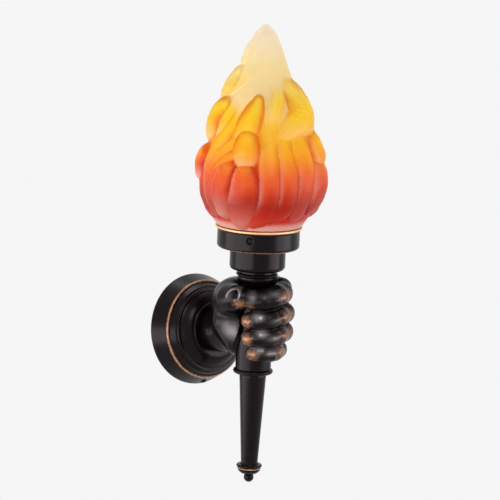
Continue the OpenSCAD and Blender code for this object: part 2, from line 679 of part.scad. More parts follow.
// Half width of the glass under its tongues, against height, both as shares
flame_body = [[0, 0.715], [0.031, 0.78], [0.078, 0.88], [0.145, 0.955], [0.217, 0.985],
    [0.3, 0.97], [0.372, 0.915], [0.455, 0.84], [0.527, 0.77], [0.6, 0.69], [0.662, 0.595],
    [0.734, 0.465], [0.796, 0.385], [0.879, 0.29], [0.95, 0.185], [0.972, 0.13],
    [0.99, 0.07], [1, 0.012]];

// A tongue of flame is a ridge along a bent spine. Each node of the spine is
// [bearing from the front, height as a share, half width in mm, swell as a share]
low_petals = [
    [[-40, 0.103, 11, 0.73], [-40, 0.186, 15, 0.86], [-37.5, 0.258, 15, 0.86], [-33, 0.31, 9, 0.64]],
    [[-22, 0.06, 12, 0.68], [-19, 0.114, 18, 0.91], [-15.5, 0.186, 19, 1], [-15, 0.258, 17, 0.95],
        [-15.5, 0.305, 11, 0.73]],
    [[-6, 0.055, 9, 0.55], [3, 0.095, 13, 0.77], [7.5, 0.176, 14, 0.86], [8, 0.269, 13, 0.77],
        [8, 0.362, 11, 0.5], [8.5, 0.465, 8, 0.09]],
    [[13, 0.08, 9, 0.55], [22.5, 0.129, 13, 0.77], [25.5, 0.207, 14, 0.82], [25.5, 0.3, 13, 0.73],
        [23.5, 0.382, 11, 0.5], [21, 0.48, 8, 0.09]],
    [[36.5, 0.25, 5, 0.27], [38, 0.34, 7.5, 0.59], [36, 0.43, 8, 0.41], [30, 0.50, 7, 0.09]],
    [[41, 0.11, 13, 0.45], [46, 0.207, 16, 0.64], [48, 0.29, 15, 0.64], [48, 0.393, 14, 0.5],
        [43, 0.49, 12, 0.14]],
    [[66, 0.15, 15, 0.82], [68, 0.207, 22, 0.98], [70, 0.262, 22, 1], [73, 0.29, 14, 0.82]],
    [[-74, 0.093, 13, 0.27], [-76, 0.17, 15, 0.36], [-74, 0.235, 10, 0.27]]];
swirls = [
    [[-50, 0.08, 4.5, 0.45], [-51.5, 0.207, 5, 0.73], [-48.5, 0.289, 5.5, 0.75], [-40, 0.348, 6, 0.68],
        [-26, 0.385, 6, 0.36]],
    [[-55.5, 0.07, 4.5, 0.45], [-56, 0.207, 5.5, 0.71], [-53.5, 0.3, 6.5, 0.73], [-46, 0.377, 8, 0.69],
        [-30, 0.44, 8, 0.36]],
    [[-61, 0.12, 5, 0.36], [-61.5, 0.31, 6.5, 0.64], [-57, 0.382, 8, 0.64], [-47, 0.465, 9.5, 0.59],
        [-36, 0.527, 9, 0.45], [-26, 0.60, 7, 0.23]],
    [[-56, 0.47, 7, 0.45], [-51, 0.537, 8.5, 0.55], [-43, 0.60, 8, 0.45], [-30, 0.665, 6, 0.14]]];
high_tongues = [
    [[74, 0.385, 18, 0.95], [71, 0.435, 13, 0.86]],
    [[60, 0.54, 15, 0.73], [64, 0.589, 24, 0.91], [58, 0.651, 22, 0.73], [48, 0.70, 12, 0.27]],
    [[4, 0.50, 16, 0.09], [14, 0.57, 17, 0.29], [22, 0.64, 15, 0.35], [25, 0.70, 12, 0.09]],
    [[-17, 0.382, 15, 0.73], [-17.5, 0.415, 16, 0.91], [-17, 0.462, 12, 0.82]],
    [[-23, 0.50, 16, 0.36], [-18.5, 0.568, 16, 0.59], [-14, 0.62, 12, 0.59], [-12, 0.652, 7, 0.45]],
    [[-76, 0.475, 12, 0.77], [-82, 0.527, 17, 0.89], [-76, 0.573, 15, 0.82], [-62, 0.605, 10, 0.45]],
    [[-84, 0.27, 12, 0.73], [-86, 0.32, 16, 0.87], [-78, 0.362, 10, 0.77]],
    [[-80, 0.68, 11, 0.68], [-80, 0.713, 16, 0.8], [-66, 0.76, 10, 0.55]],
    [[-70, 0.83, 8, 0.36], [-64, 0.88, 9, 0.42], [-46, 0.925, 6, 0.18]]];
rear_tongues = concat(
    [for (i = [0:5]) let (b = 106 + 22 * i) [[b - 6, 0.08, 10, 0.64], [b, 0.13, 14, 0.82],
        [b + 2, 0.23, 15, 0.82], [b, 0.31 + 0.06 * (i % 2), 9, 0.45]]],
    [for (i = [0:3]) let (b = 118 + 38 * i) [[b, 0.38, 15, 0.73], [b + 3, 0.43, 17, 0.85], [b + 9, 0.48, 10, 0.55]]],
    [for (i = [0:2]) let (b = 126 + 48 * i) [[b, 0.55, 14, 0.64], [b + 4, 0.60, 17, 0.8], [b + 12, 0.65, 9, 0.45]]],
    [for (i = [0:1]) let (b = 140 + 66 * i) [[b, 0.71, 10, 0.45], [b + 8, 0.76, 12, 0.6], [b + 20, 0.81, 6, 0.27]]]);
tongues = concat(low_petals, swirls, high_tongues, rear_tongues);

// Turn from one bearing to another, between -180 and 180 degrees
function turn(a) = let (b = (a + 180) % 360) (b < 0 ? b + 360 : b) - 180;

// Swell of one length of a spine at a bearing and height, in the glass unrolled
// flat at m millimetres a degree: it falls with the square of the distance
function ridge(p, q, a, h, m) = let (
    d = [(q[0] - p[0]) * m, (q[1] - p[1]) * flame_h],
    e = [turn(a - p[0]) * m, (h - p[1]) * flame_h],
    t = max(0, min(1, (e * d) / (d * d))), g = e - t * d, w = p[2] + (q[2] - p[2]) * t,
    near = 1 - (g * g) / (w * w))
    near > 0 ? (p[3] + (q[3] - p[3]) * t) * pow(near, 0.6) : 0;

// Radius of the glass: its body, and the tongue that stands highest there
function flame_radius(a, h) = let (body = flame_body_d / 2 * lookup(h, flame_body),
    m = (body + 5) * PI / 180,
    swells = [for (s = tongues) if (abs(turn(a - s[1][0])) < 60 && abs(h - s[1][1]) < 0.4)
        for (i = [0:len(s) - 2]) ridge(s[i], s[i + 1], a, h, m)])
    body + tongue_swell * max(concat([0], swells));

// The flame's upper part drifts to the left of the torch axis
tip_drift = 1;
function drift(h) = tip_drift * smooth((h - 0.42) / 0.45);

glass_sides = 68;
glass_rings = 46;

// Rings of the glass from its inner crown, down the bore and the neck, and up
// the outside: each is [height, radius or 0 for the flame, share of the drift]
bead_foot_r = cup_inner_r - glass_gap;
inner_rings = [for (h = [0.86:-0.11:0.04]) [flame_foot + h * flame_h,
    flame_body_d / 2 * lookup(h, flame_body) - glass_wall, drift(h)]];
neck_rings = [
    [flame_foot, glass_neck_r - glass_wall, 0],
    [cup_floor, glass_neck_r - glass_wall, 0],
    [cup_floor, bead_foot_r - 0.8, 0], [cup_floor + 1.4, bead_foot_r, 0],
    [cup_floor + 4.4, bead_foot_r, 0], [cup_floor + 6.2, glass_neck_r, 0],
    [lip_top - 1.4, glass_neck_r, 0],
    [flame_foot, glass_neck_r + 2, 0]];

module flame_shade() color("#f08a3c") on_torch() {
    n = glass_sides;
    outer = [for (k = [0:glass_rings]) pow(k / glass_rings, 0.94) * 0.996];
    plain = concat(inner_rings, neck_rings);
    points = concat(
        [for (r = plain) for (i = [0:n - 1]) let (a = 360 * i / n)
            [r[1] * cos(a) + r[2] * cos(flame_front - 90),
                r[1] * sin(a) + r[2] * sin(flame_front - 90), r[0]]],
        [for (h = outer) for (i = [0:n - 1]) let (a = 360 * i / n,
            r = flame_radius(turn(a - flame_front), h))
            [r * cos(a) + drift(h) * cos(flame_front - 90),
                r * sin(a) + drift(h) * sin(flame_front - 90), flame_foot + h * flame_h]]);
    m = len(plain) + len(outer);
    walls = [for (k = [0:m - 2]) for (i = [0:n - 1])
        let (a = k * n + i, b = k * n + (i + 1) % n) each [[a, a + n, b + n], [a, b + n, b]]];
    ends = [[for (i = [0:n - 1]) i], [for (i = [n - 1:-1:0]) (m - 1) * n + i]];
    polyhedron(points = points, faces = concat(walls, ends), convexity = 8);
}

// ----------------------------------------------------------------- assembly

wall_bracket();
canopy();
canopy_screw();
terminal_block();
terminal_screws();
block_screw();
earth_screw();
earth_tag();
earth_lead();
live_lead();
neutral_lead();
arm_nipple();
arm_washer();
arm_nut();
fist();
grip_tube();
grip_plug();
bead_ring();
torch_shaft();
shaft_rod();
finial_cap();
finial_ball();
neck_collar();
socket_housing();
gallery_cup();
socket_nipple();
cup_nut();
set_screw_1();
set_screw_2();
set_screw_3();
holder_strap();
holder_screws();
lampholder();
screw_shell();
centre_contact();
lamp_cap();
lamp_globe();
flame_shade();
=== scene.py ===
"""Looks of the torch wall sconce, built around its packed construction model.

Everything is in metres in the model's frame: the wall is the plane y = 0, the
room lies towards -Y, and +Z is up. Torch pieces are worked out in the torch's
own frame, whose height is measured along the leaning torch axis from the point
where it crosses the axis of the wrist, and are then carried into the model's.
"""

import logging
import math
from dataclasses import dataclass, field
from enum import Enum
from typing import Callable, Optional, Sequence

import bpy
import numpy as np
from mathutils import Matrix, Vector


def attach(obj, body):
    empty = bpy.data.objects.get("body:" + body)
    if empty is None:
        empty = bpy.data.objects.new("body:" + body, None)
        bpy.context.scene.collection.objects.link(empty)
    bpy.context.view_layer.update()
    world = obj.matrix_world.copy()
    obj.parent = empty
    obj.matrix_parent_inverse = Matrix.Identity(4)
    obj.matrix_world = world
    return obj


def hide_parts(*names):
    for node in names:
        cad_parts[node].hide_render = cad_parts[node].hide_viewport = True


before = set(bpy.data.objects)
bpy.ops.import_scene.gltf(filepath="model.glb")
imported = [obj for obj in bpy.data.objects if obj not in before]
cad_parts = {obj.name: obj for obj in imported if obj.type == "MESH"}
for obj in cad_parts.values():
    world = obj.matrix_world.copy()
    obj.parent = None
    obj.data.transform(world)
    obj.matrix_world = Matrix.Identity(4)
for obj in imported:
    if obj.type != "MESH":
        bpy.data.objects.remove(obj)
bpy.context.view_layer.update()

LOG = logging.getLogger("sconce")
MM = 0.001
BODY = "sconce"

Array = np.ndarray
Rgb = tuple[float, float, float]


# --------------------------------------------------------------- geometry


@dataclass(frozen=True)
class TorchAxis:
    """The leaning axis of the torch.

    Attributes:
        reach: distance from the wall to the axis at wrist height.
        lean: angle between the axis and the vertical, in degrees.
    """

    reach: float = 102 * MM
    lean: float = 9.5

    def to_frame(self, local: Array) -> Array:
        """Carries points from the torch's frame to the model's.

        The frame is turned about X by the lean and moved out by the reach.

        Args:
            local: points as rows of x, y and height along the axis.
        Returns:
            The same points in the model's frame.
        """
        c, s = math.cos(math.radians(self.lean)), math.sin(math.radians(self.lean))
        x, y, u = local[..., 0], local[..., 1], local[..., 2]
        return np.stack([x, -self.reach + y * c - u * s, y * s + u * c], axis=-1)

    def to_local(self, points: Array) -> Array:
        """Carries points of the model's frame into the torch's frame.

        Args:
            points: points as rows of x, y and z.
        Returns:
            The same points in the torch's frame.
        """
        c, s = math.cos(math.radians(self.lean)), math.sin(math.radians(self.lean))
        x, y, z = points[..., 0], points[..., 1] + self.reach, points[..., 2]
        return np.stack([x, y * c + z * s, -y * s + z * c], axis=-1)


TORCH = TorchAxis()


def from_wall(local: Array) -> Array:
    """Turns points of a piece drawn along +Z so that it stands on the wall.

    Args:
        local: points as rows of x, y and depth from the wall.
    Returns:
        Points in the model's frame, with the depth along -Y.
    """
    return np.stack([local[..., 0], -local[..., 2], local[..., 1]], axis=-1)


def smoothstep(low: float, high: float, x: Array) -> Array:
    """Eases from 0 at low to 1 at high: t * t * (3 - 2 * t)."""
    t = np.clip((x - low) / (high - low), 0, 1)
    return t * t * (3 - 2 * t)


def arc(centre: Sequence[float], radius: float, start: float, end: float,
        steps: int = 8) -> list[tuple[float, float]]:
    """Points of a circular arc in a profile's plane.

    Args:
        centre: radius and height of the arc's centre.
        radius: the arc's radius.
        start: first angle in degrees, from the outward direction.
        end: last angle in degrees.
        steps: number of chords.
    Returns:
        The arc's points as pairs of radius and height.
    """
    turn = np.radians(np.linspace(start, end, steps + 1))
    return [(centre[0] + radius * math.cos(a), centre[1] + radius * math.sin(a)) for a in turn]


def resample(profile: Array, step: float) -> Array:
    """Adds points to a profile so that no chord is longer than the step.

    Args:
        profile: points as rows of radius and height.
        step: longest chord.
    Returns:
        The finer profile, which keeps every given point.
    """
    counts = np.maximum(1, np.ceil(np.linalg.norm(np.diff(profile, axis=0), axis=1) / step).astype(int))
    parts = [np.linspace(a, b, n, endpoint=False) for a, b, n in zip(profile[:-1], profile[1:], counts)]
    return np.vstack(parts + [profile[-1:]])


def grid_quads(rows: int, cols: int, close_rows: bool) -> Array:
    """Faces of a grid whose columns wrap round.

    Args:
        rows: number of rings.
        cols: number of points in a ring.
        close_rows: True if the last ring joins the first.
    Returns:
        Quads as rows of four vertex numbers.
    """
    r = np.arange(rows if close_rows else rows - 1)[:, None]
    c = np.arange(cols)[None, :]
    below, above = r * cols, ((r + 1) % rows) * cols
    right = (c + 1) % cols
    return np.stack([below + c, below + right, above + right, above + c], axis=-1).reshape(-1, 4)


def linked(name: str, data: bpy.types.ID) -> bpy.types.Object:
    """Makes an object from its data and links it to the scene."""
    made = bpy.data.objects.new(name, data)
    bpy.context.scene.collection.objects.link(made)
    return made


def make_object(name: str, points: Array, quads: Array, values: Optional[dict[str, Array]] = None,
                triangles: Optional[Array] = None, sharp: float = 40.0) -> bpy.types.Object:
    """Puts a worked-out surface into a mesh object.

    Args:
        name: name of the piece.
        points: vertices in the model's frame.
        quads: faces of four vertices.
        values: named numbers of each vertex, kept as attributes.
        triangles: further faces of three vertices.
        sharp: angle in degrees past which an edge is shaded sharp.
    Returns:
        The new object, linked to the scene.
    """
    mesh = bpy.data.meshes.new(name)
    loops = quads.reshape(-1)
    starts = np.arange(len(quads)) * 4
    if triangles is not None and len(triangles):
        starts = np.concatenate([starts, len(loops) + np.arange(len(triangles)) * 3])
        loops = np.concatenate([loops, triangles.reshape(-1)])
    mesh.vertices.add(len(points))
    mesh.vertices.foreach_set("co", points.astype(np.float32).ravel())
    mesh.loops.add(len(loops))
    mesh.loops.foreach_set("vertex_index", loops.astype(np.int32))
    mesh.polygons.add(len(starts))
    mesh.polygons.foreach_set("loop_start", starts.astype(np.int32))
    mesh.update(calc_edges=True)
    mesh.validate()
    mesh.polygons.foreach_set("use_smooth", np.ones(len(mesh.polygons), bool))
    mesh.set_sharp_from_angle(angle=math.radians(sharp))
    for key, value in (values or {}).items():
        attribute = mesh.attributes.new(key, "FLOAT", "POINT")
        attribute.data.foreach_set("value", value.astype(np.float32).ravel())
    return linked(name, mesh)


@dataclass(frozen=True)
class Rub:
    """A rubbed edge of a turned piece, where the copper shows.

    Attributes:
        radius: radius of the edge.
        height: height of the edge.
        width: distance over which the rubbing fades.
        strength: 1 for bare copper, less for a faint line.
    """

    radius: float
    height: float
    width: float
    strength: float = 1.0


@dataclass(frozen=True)
class Sink:
    """Countersunk screw holes in a turned wall, evenly spread round the axis.

    Attributes:
        bearing: bearing of the first hole in degrees.
        height: height of the holes.
        count: number of holes.
        hole: radius of a hole.
        mouth: radius of its countersink.
        depth: depth of a hole.
    """

    bearing: float
    height: float
    count: int = 3
    hole: float = 2.7
    mouth: float = 3.9
    depth: float = 2.1

    def turns(self, sides: int) -> Array:
        """Bearings of a ring's points, close together at the holes, in radians."""
        plain = np.linspace(0, 360, sides, endpoint=False)
        holes = self.bearing + 360 / self.count * np.arange(self.count)
        near = np.abs((plain[:, None] - holes + 180) % 360 - 180).min(axis=1) < 6
        close = (holes[:, None] + np.arange(-6, 6.01, 0.4)).ravel() % 360
        return np.radians(np.sort(np.concatenate([plain[~near], close])))

    def press(self, radius: Array, height: Array, turn: Array) -> tuple[Array, Array]:
        """Presses the holes into a wall.

        At the distance d from a hole's axis the wall sinks by the depth inside
        the hole and by half of it, fading to nothing, in the countersink.

        Args:
            radius: radius of each point of the wall.
            height: height of each point.
            turn: bearing of each point in radians.
        Returns:
            The new radii and the faint rubbing on the countersinks' rims,
            a painted highlight on their edges.
        """
        step = 2 * math.pi / self.count
        off = (turn - math.radians(self.bearing) + step / 2) % step - step / 2
        d = np.hypot(radius * off, height - self.height)
        cone = 0.5 * self.depth * (1 - np.clip((d - self.hole) / (self.mouth - self.hole), 0, 1))
        bore = 0.5 * self.depth * (1 - smoothstep(self.hole - 0.35, self.hole, d))
        # The countersink's rim gets a faint rubbed line, a painted highlight on its edge.
        return radius - cone - bore, 0.22 * np.exp(-(((d - self.mouth) / 0.45) ** 2))


def turned(name: str, profile: Sequence[tuple[float, float]], place: Callable[[Array], Array], sides: int,
           step: float, rubs: Sequence[Rub] = (), sink: Optional[Sink] = None) -> bpy.types.Object:
    """Builds a turned piece: its closed profile is carried round an axis.

    A point of the profile (r, h) at the turn t lies at (r cos t, r sin t, h).
    The rubbing at a point is the greatest of strength * exp(-(d / width)^2),
    where d is its distance from each rubbed edge. The attribute "track" is the
    length along the profile, which the tool's fine grooves follow.

    Args:
        name: name of the piece.
        profile: closed outline as pairs of radius and height in millimetres,
            run so that the solid lies to the left.
        place: carries the piece's own points into the model's frame.
        sides: number of points round the axis.
        step: longest chord of the outline in millimetres.
        rubs: rubbed edges, in millimetres.
        sink: screw holes in the wall that stands farthest out.
    Returns:
        The new object.
    """
    loop = np.array(list(profile) + [profile[0]], float)
    fine = resample(loop, step)[:-1]
    turn = sink.turns(sides) if sink else np.linspace(0, 2 * math.pi, sides, endpoint=False)
    r, h = fine[:, 0][:, None] + 0 * turn, fine[:, 1][:, None] + 0 * turn
    wear = np.zeros(len(fine))
    for rub in rubs:
        distance = np.hypot(fine[:, 0] - rub.radius, fine[:, 1] - rub.height)
        wear = np.maximum(wear, rub.strength * np.exp(-((distance / rub.width) ** 2)))
    wear = wear[:, None] + 0 * turn
    if sink:
        pressed, rim = sink.press(r, h, turn)
        wall = r > r[np.abs(h - sink.height) < 1].max() - 0.01
        # The countersinks' rims add their painted highlight to the wear.
        r, wear = np.where(wall, pressed, r), np.where(wall, np.maximum(wear, rim), wear)
    local = np.stack([r * np.cos(turn), r * np.sin(turn), h], axis=-1).reshape(-1, 3)
    track = np.concatenate([[0], np.cumsum(np.linalg.norm(np.diff(fine, axis=0), axis=1))]) * MM
    quads = grid_quads(len(fine), len(turn), True)
    return make_object(name, place(local * MM), quads, {"wear": wear, "track": np.repeat(track, len(turn))})


# --------------------------------------------------------------- materials


class Nodes:
    """A short way to write a material's node tree."""

    def __init__(self, name: str) -> None:
        """Makes a material with an empty tree and an output.

        Args:
            name: name of the material.
        """
        self.material = bpy.data.materials.new(name)
        self.material.use_nodes = True
        self.tree = self.material.node_tree
        self.tree.nodes.clear()
        self.output = self.tree.nodes.new("ShaderNodeOutputMaterial")

    def add(self, kind: str, inputs: Optional[dict] = None, **settings) -> bpy.types.Node:
        """Adds a node, sets its properties and fills or links its inputs.

        Args:
            kind: Blender's name of the node type, without "ShaderNode".
            inputs: input name or number to a value or to another node's output.
            **settings: properties of the node.
        Returns:
            The new node.
        """
        node = self.tree.nodes.new("ShaderNode" + kind)
        for key, value in settings.items():
            setattr(node, key, value)
        for key, value in (inputs or {}).items():
            if isinstance(value, bpy.types.NodeSocket):
                self.tree.links.new(value, node.inputs[key])
            else:
                node.inputs[key].default_value = value
        return node

    def math(self, operation: str, a, b=0.0, clamp: bool = False) -> bpy.types.NodeSocket:
        """Adds a Math node.

        Args:
            operation: the operation's name.
            a: first value or socket.
            b: second value or socket.
            clamp: True to keep the result from 0 to 1.
        Returns:
            The result's socket.
        """
        return self.add("Math", {0: a, 1: b}, operation=operation, use_clamp=clamp).outputs[0]

    def ramp(self, factor: bpy.types.NodeSocket, stops: Sequence[tuple[float, Rgb]]) -> bpy.types.NodeSocket:
        """Adds a colour ramp.

        Args:
            factor: socket that runs along the ramp.
            stops: pairs of position and colour.
        Returns:
            The colour's socket.
        """
        node = self.add("ValToRGB", {"Fac": factor})
        elements = node.color_ramp.elements
        while len(elements) < len(stops):
            elements.new(0.5)
        for element, (position, colour) in zip(elements, stops):
            element.position = position
            element.color = (*colour, 1)
        return node.outputs["Color"]

    def mix(self, factor, a, b) -> bpy.types.NodeSocket:
        """Mixes two colours.

        Args:
            factor: share of the second colour, a value or a socket.
            a: first colour or socket.
            b: second colour or socket.
        Returns:
            The mixed colour's socket.
        """
        node = self.add("Mix", data_type="RGBA")
        for socket, value in ((node.inputs[0], factor), (node.inputs[6], a), (node.inputs[7], b)):
            if isinstance(value, bpy.types.NodeSocket):
                self.tree.links.new(value, socket)
            else:
                socket.default_value = (*value, 1) if isinstance(value, tuple) else value
        return node.outputs[2]

    def noise(self, scale: float, detail: float = 3.0, vector=None) -> bpy.types.NodeSocket:
        """Adds a noise on the object's coordinates.

        Args:
            scale: cells per metre.
            detail: octaves.
            vector: socket to use in place of the object's coordinates.
        Returns:
            The noise's factor socket.
        """
        where = vector or self.add("TexCoord").outputs["Object"]
        return self.add("TexNoise", {"Vector": where, "Scale": scale, "Detail": detail}).outputs["Fac"]

    def swing(self, scale: float, detail: float, amount: float, vector=None) -> bpy.types.NodeSocket:
        """Adds a noise that swings evenly about 0.

        Args:
            scale: cells per metre.
            detail: octaves.
            amount: full width of the swing.
            vector: socket to use in place of the object's coordinates.
        Returns:
            The swing's socket.
        """
        centred = self.math("SUBTRACT", self.noise(scale, detail, vector), 0.5)
        return self.math("MULTIPLY", centred, amount)

    def span(self, value: bpy.types.NodeSocket, low: float, high: float,
             kind: str = "SMOOTHSTEP") -> bpy.types.NodeSocket:
        """The value's place between low and high, from 0 to 1."""
        return self.add("MapRange", {"Value": value, "From Min": low, "From Max": high},
                        interpolation_type=kind).outputs[0]

    def grooves(self, across: float, along: float) -> bpy.types.NodeSocket:
        """Vector that changes fast across a turned piece's grooves.

        Args:
            across: cells per metre along the profile.
            along: cells per metre round the axis.
        Returns:
            The object coordinates times along, plus the track times across.
        """
        near = self.add("VectorMath", {0: self.add("TexCoord").outputs["Object"], "Scale": along},
                        operation="SCALE").outputs[0]
        length = self.math("MULTIPLY", self.attribute("track"), across)
        track = self.add("CombineXYZ", {"X": length}).outputs[0]
        return self.add("VectorMath", {0: near, 1: track}, operation="ADD").outputs[0]

    def attribute(self, name: str) -> bpy.types.NodeSocket:
        """The factor socket of one of the piece's own attributes."""
        return self.add("Attribute", attribute_name=name).outputs["Fac"]

    def bump(self, height: bpy.types.NodeSocket, distance: float, strength: float = 1.0,
             normal=None) -> bpy.types.NodeSocket:
        """Adds a bump.

        Args:
            height: socket of the height, from 0 to 1.
            distance: depth of the relief in metres.
            strength: share of the effect.
            normal: an earlier bump's socket.
        Returns:
            The normal's socket.
        """
        inputs = {"Height": height, "Distance": distance, "Strength": strength}
        if normal is not None:
            inputs["Normal"] = normal
        return self.add("Bump", inputs).outputs["Normal"]

    def surface(self, shader: bpy.types.NodeSocket) -> bpy.types.Material:
        """Links a shader to the output and returns the material."""
        self.tree.links.new(shader, self.output.inputs["Surface"])
        return self.material


class Grain(Enum):
    """How the surface of the bronze was finished."""

    TURNED = "turned on a lathe"
    CAST = "cast"


@dataclass(frozen=True)
class Bronze:
    """Near-black rubbed bronze whose worn edges show copper.

    Attributes:
        name: name of the material.
        grain: how the surface was finished.
        dark: colour of the dark coat.
        warm: colour of the coat where it thins.
        copper: colour of the bare metal.
        brown: colour of the half-rubbed metal.
        painted_highlight: pale lilac-grey colour of the polished spots, a painted highlight where the lamps'
            reflections fall; these spots are also metallic.
        roughness: roughness of the dark coat.
        gloss: specular level of the dark coat.
        mottle: unevenness of the rubbing.
    """

    name: str
    grain: Grain
    dark: Rgb = (0.0012, 0.001, 0.0014)
    warm: Rgb = (0.0055, 0.003, 0.003)
    copper: Rgb = (0.93, 0.50, 0.25)
    brown: Rgb = (0.12, 0.042, 0.016)
    painted_highlight: Rgb = (0.40, 0.35, 0.36)
    roughness: float = 0.25
    gloss: float = 0.13
    mottle: float = 0.35

    def build(self) -> bpy.types.Material:
        """Makes the material from its wear attribute and its attribute of polish and painted highlight.

        As the wear grows, with a fine speckle, the coat thins to brown and then
        to bare copper. The polished spots are partly real polish, metallic and
        rougher, and partly a painted highlight in a pale lilac-grey colour.

        Returns:
            The material.
        """
        n = Nodes(self.name)
        wear = n.attribute("wear")
        speckle = n.math("ADD", n.swing(800, 2, 0.6 * self.mottle), n.swing(300, 3, self.mottle))
        worn = n.math("ADD", wear, speckle)
        touched = n.span(wear, 0.04, 0.25, "LINEAR")
        bare = n.math("MULTIPLY", n.span(worn, 0.36, 1.0), touched)
        thin = n.math("MULTIPLY", n.span(worn, 0.12, 0.6), touched)
        if self.grain is Grain.TURNED:
            grooves, depth = n.noise(1, 3, vector=n.grooves(2400, 40)), 0.00003
            coat = n.mix(n.noise(1, 2, vector=n.grooves(700, 25)), self.dark, self.warm)
        else:
            grooves, depth = n.noise(700, 3), 0.00006
            coat = n.mix(n.noise(130, 3), self.dark, self.warm)
        uneven = n.math("ADD", n.noise(420, 3), 0.45, clamp=True)
        # Spots of polish and painted highlight: pale metal where the lamps' reflections fall.
        polish_and_highlight = n.math("MULTIPLY", n.attribute("polish_and_highlight"), uneven)
        rubbed = n.mix(bare, n.mix(thin, coat, self.brown), self.copper)
        rough = n.math("ADD", self.roughness - 0.04, n.math("MULTIPLY", n.noise(300, 2), 0.10))
        rough = n.math("ADD", rough, n.math("MULTIPLY", n.math("ADD", bare, polish_and_highlight), 0.14))
        half = n.math("SUBTRACT", thin, bare, clamp=True)
        # Base colour: the polished spots take the painted highlight's pale colour; they also turn metallic
        # and rougher.
        shader = n.add("BsdfPrincipled", {
            "Base Color": n.mix(polish_and_highlight, rubbed, self.painted_highlight), "Roughness": rough,
            "Normal": n.bump(grooves, depth, 0.5),
            "Metallic": n.math("MAXIMUM", n.math("MULTIPLY", bare, 0.7), polish_and_highlight),
            "Specular IOR Level": n.math("ADD", n.math("MULTIPLY", half, 0.5), self.gloss),
            "Specular Tint": (1.0, 0.86, 0.9, 1.0)})
        return n.surface(shader.outputs[0])


@dataclass(frozen=True)
class Plain:
    """A hidden or small piece's finish: one colour with fine variation.

    Attributes:
        name: name of the material.
        colour: main colour.
        metallic: share of metal.
        roughness: mean roughness.
        scale: cells of the variation per metre.
        relief: depth of the fine bump in metres.
        gloss: specular level.
    """

    name: str
    colour: Rgb
    metallic: float = 0.0
    roughness: float = 0.4
    scale: float = 350.0
    relief: float = 0.00002
    gloss: float = 0.5

    def build(self) -> bpy.types.Material:
        """Makes the material from two noises and a fine bump."""
        n = Nodes(self.name)
        broad = n.noise(self.scale, 3)
        darker = tuple(0.78 * c for c in self.colour)
        colour = n.mix(broad, darker, tuple(min(1.0, 1.1 * c) for c in self.colour))
        rough = n.math("ADD", self.roughness - 0.06, n.math("MULTIPLY", n.noise(self.scale * 2.3, 2), 0.12))
        shader = n.add("BsdfPrincipled", {
            "Base Color": colour, "Roughness": rough, "Metallic": self.metallic,
            "Specular IOR Level": self.gloss,
            "Normal": n.bump(n.noise(self.scale * 4, 2), self.relief, 0.6)})
        return n.surface(shader.outputs[0])


@dataclass(frozen=True)
class FlameGlass:
    """Frosted satin glass, sprayed from ivory at the tip to red at the foot.

    Attributes:
        name: name of the material.
        clear: ramp of the thin colour on the crowns of the tongues.
        deep: ramp of the gathered colour in the creases and at the tongues' tops.
        pale: ramp of the bare frosted glass at the tongues' lower ends.
    """

    name: str = "flame_glass_satin"
    clear: tuple = ((0.0, (0.62, 0.27, 0.22)), (0.035, (0.56, 0.14, 0.10)), (0.08, (0.36, 0.032, 0.011)),
                    (0.14, (0.38, 0.021, 0.005)), (0.20, (0.58, 0.045, 0.010)), (0.28, (0.78, 0.11, 0.022)),
                    (0.33, (0.87, 0.22, 0.02)), (0.38, (0.91, 0.35, 0.015)), (0.46, (0.92, 0.47, 0.018)),
                    (0.58, (0.91, 0.56, 0.02)), (0.66, (0.91, 0.60, 0.06)), (0.73, (0.90, 0.64, 0.18)),
                    (0.82, (0.90, 0.69, 0.33)), (1.0, (0.92, 0.77, 0.59)))
    deep: tuple = ((0.0, (0.50, 0.05, 0.02)), (0.06, (0.50, 0.012, 0.002)), (0.14, (0.33, 0.008, 0.001)),
                   (0.22, (0.42, 0.012, 0.001)), (0.30, (0.58, 0.032, 0.001)), (0.38, (0.74, 0.10, 0.001)),
                   (0.48, (0.78, 0.20, 0.001)), (0.58, (0.74, 0.23, 0.001)), (0.66, (0.72, 0.26, 0.002)),
                   (0.75, (0.80, 0.44, 0.05)), (0.87, (0.87, 0.60, 0.22)), (1.0, (0.90, 0.72, 0.50)))
    pale: tuple = ((0.0, (0.66, 0.33, 0.28)), (0.12, (0.66, 0.26, 0.20)), (0.24, (0.84, 0.44, 0.38)),
                   (0.34, (0.88, 0.42, 0.22)), (0.46, (0.91, 0.57, 0.27)), (0.60, (0.90, 0.62, 0.28)),
                   (0.80, (0.88, 0.67, 0.31)), (1.0, (0.92, 0.77, 0.58)))

    def build(self) -> bpy.types.Material:
        """Makes the material from the attributes "rise", "deep", "pale" and "lane".

        The rise runs along the three ramps, the tints mix them, and the lanes
        carry streaks along the tongues.

        Returns:
            The material.
        """
        n = Nodes(self.name)
        rise = n.math("ADD", n.attribute("rise"), n.swing(38, 2, 0.05))
        lane = n.add("CombineXYZ", {"X": n.attribute("lane"), "Y": n.math("MULTIPLY", rise, 1.5)}).outputs[0]
        blotched = n.math("ADD", n.attribute("deep"), n.swing(90, 3, 0.3))
        gathered = n.math("ADD", blotched, n.swing(3.5, 3, 0.7, lane), clamp=True)
        colour = n.mix(gathered, n.ramp(rise, self.clear), n.ramp(rise, self.deep))
        shader = n.add("BsdfPrincipled", {
            "Base Color": n.mix(n.attribute("pale"), colour, n.ramp(rise, self.pale)), "Roughness": 0.4,
            "Normal": n.bump(n.noise(1500, 2), 0.00004, 0.35), "Specular IOR Level": 0.15,
            "Subsurface Weight": 0.1, "Subsurface Radius": (1.0, 0.35, 0.15), "Subsurface Scale": 0.002})
        return n.surface(shader.outputs[0])


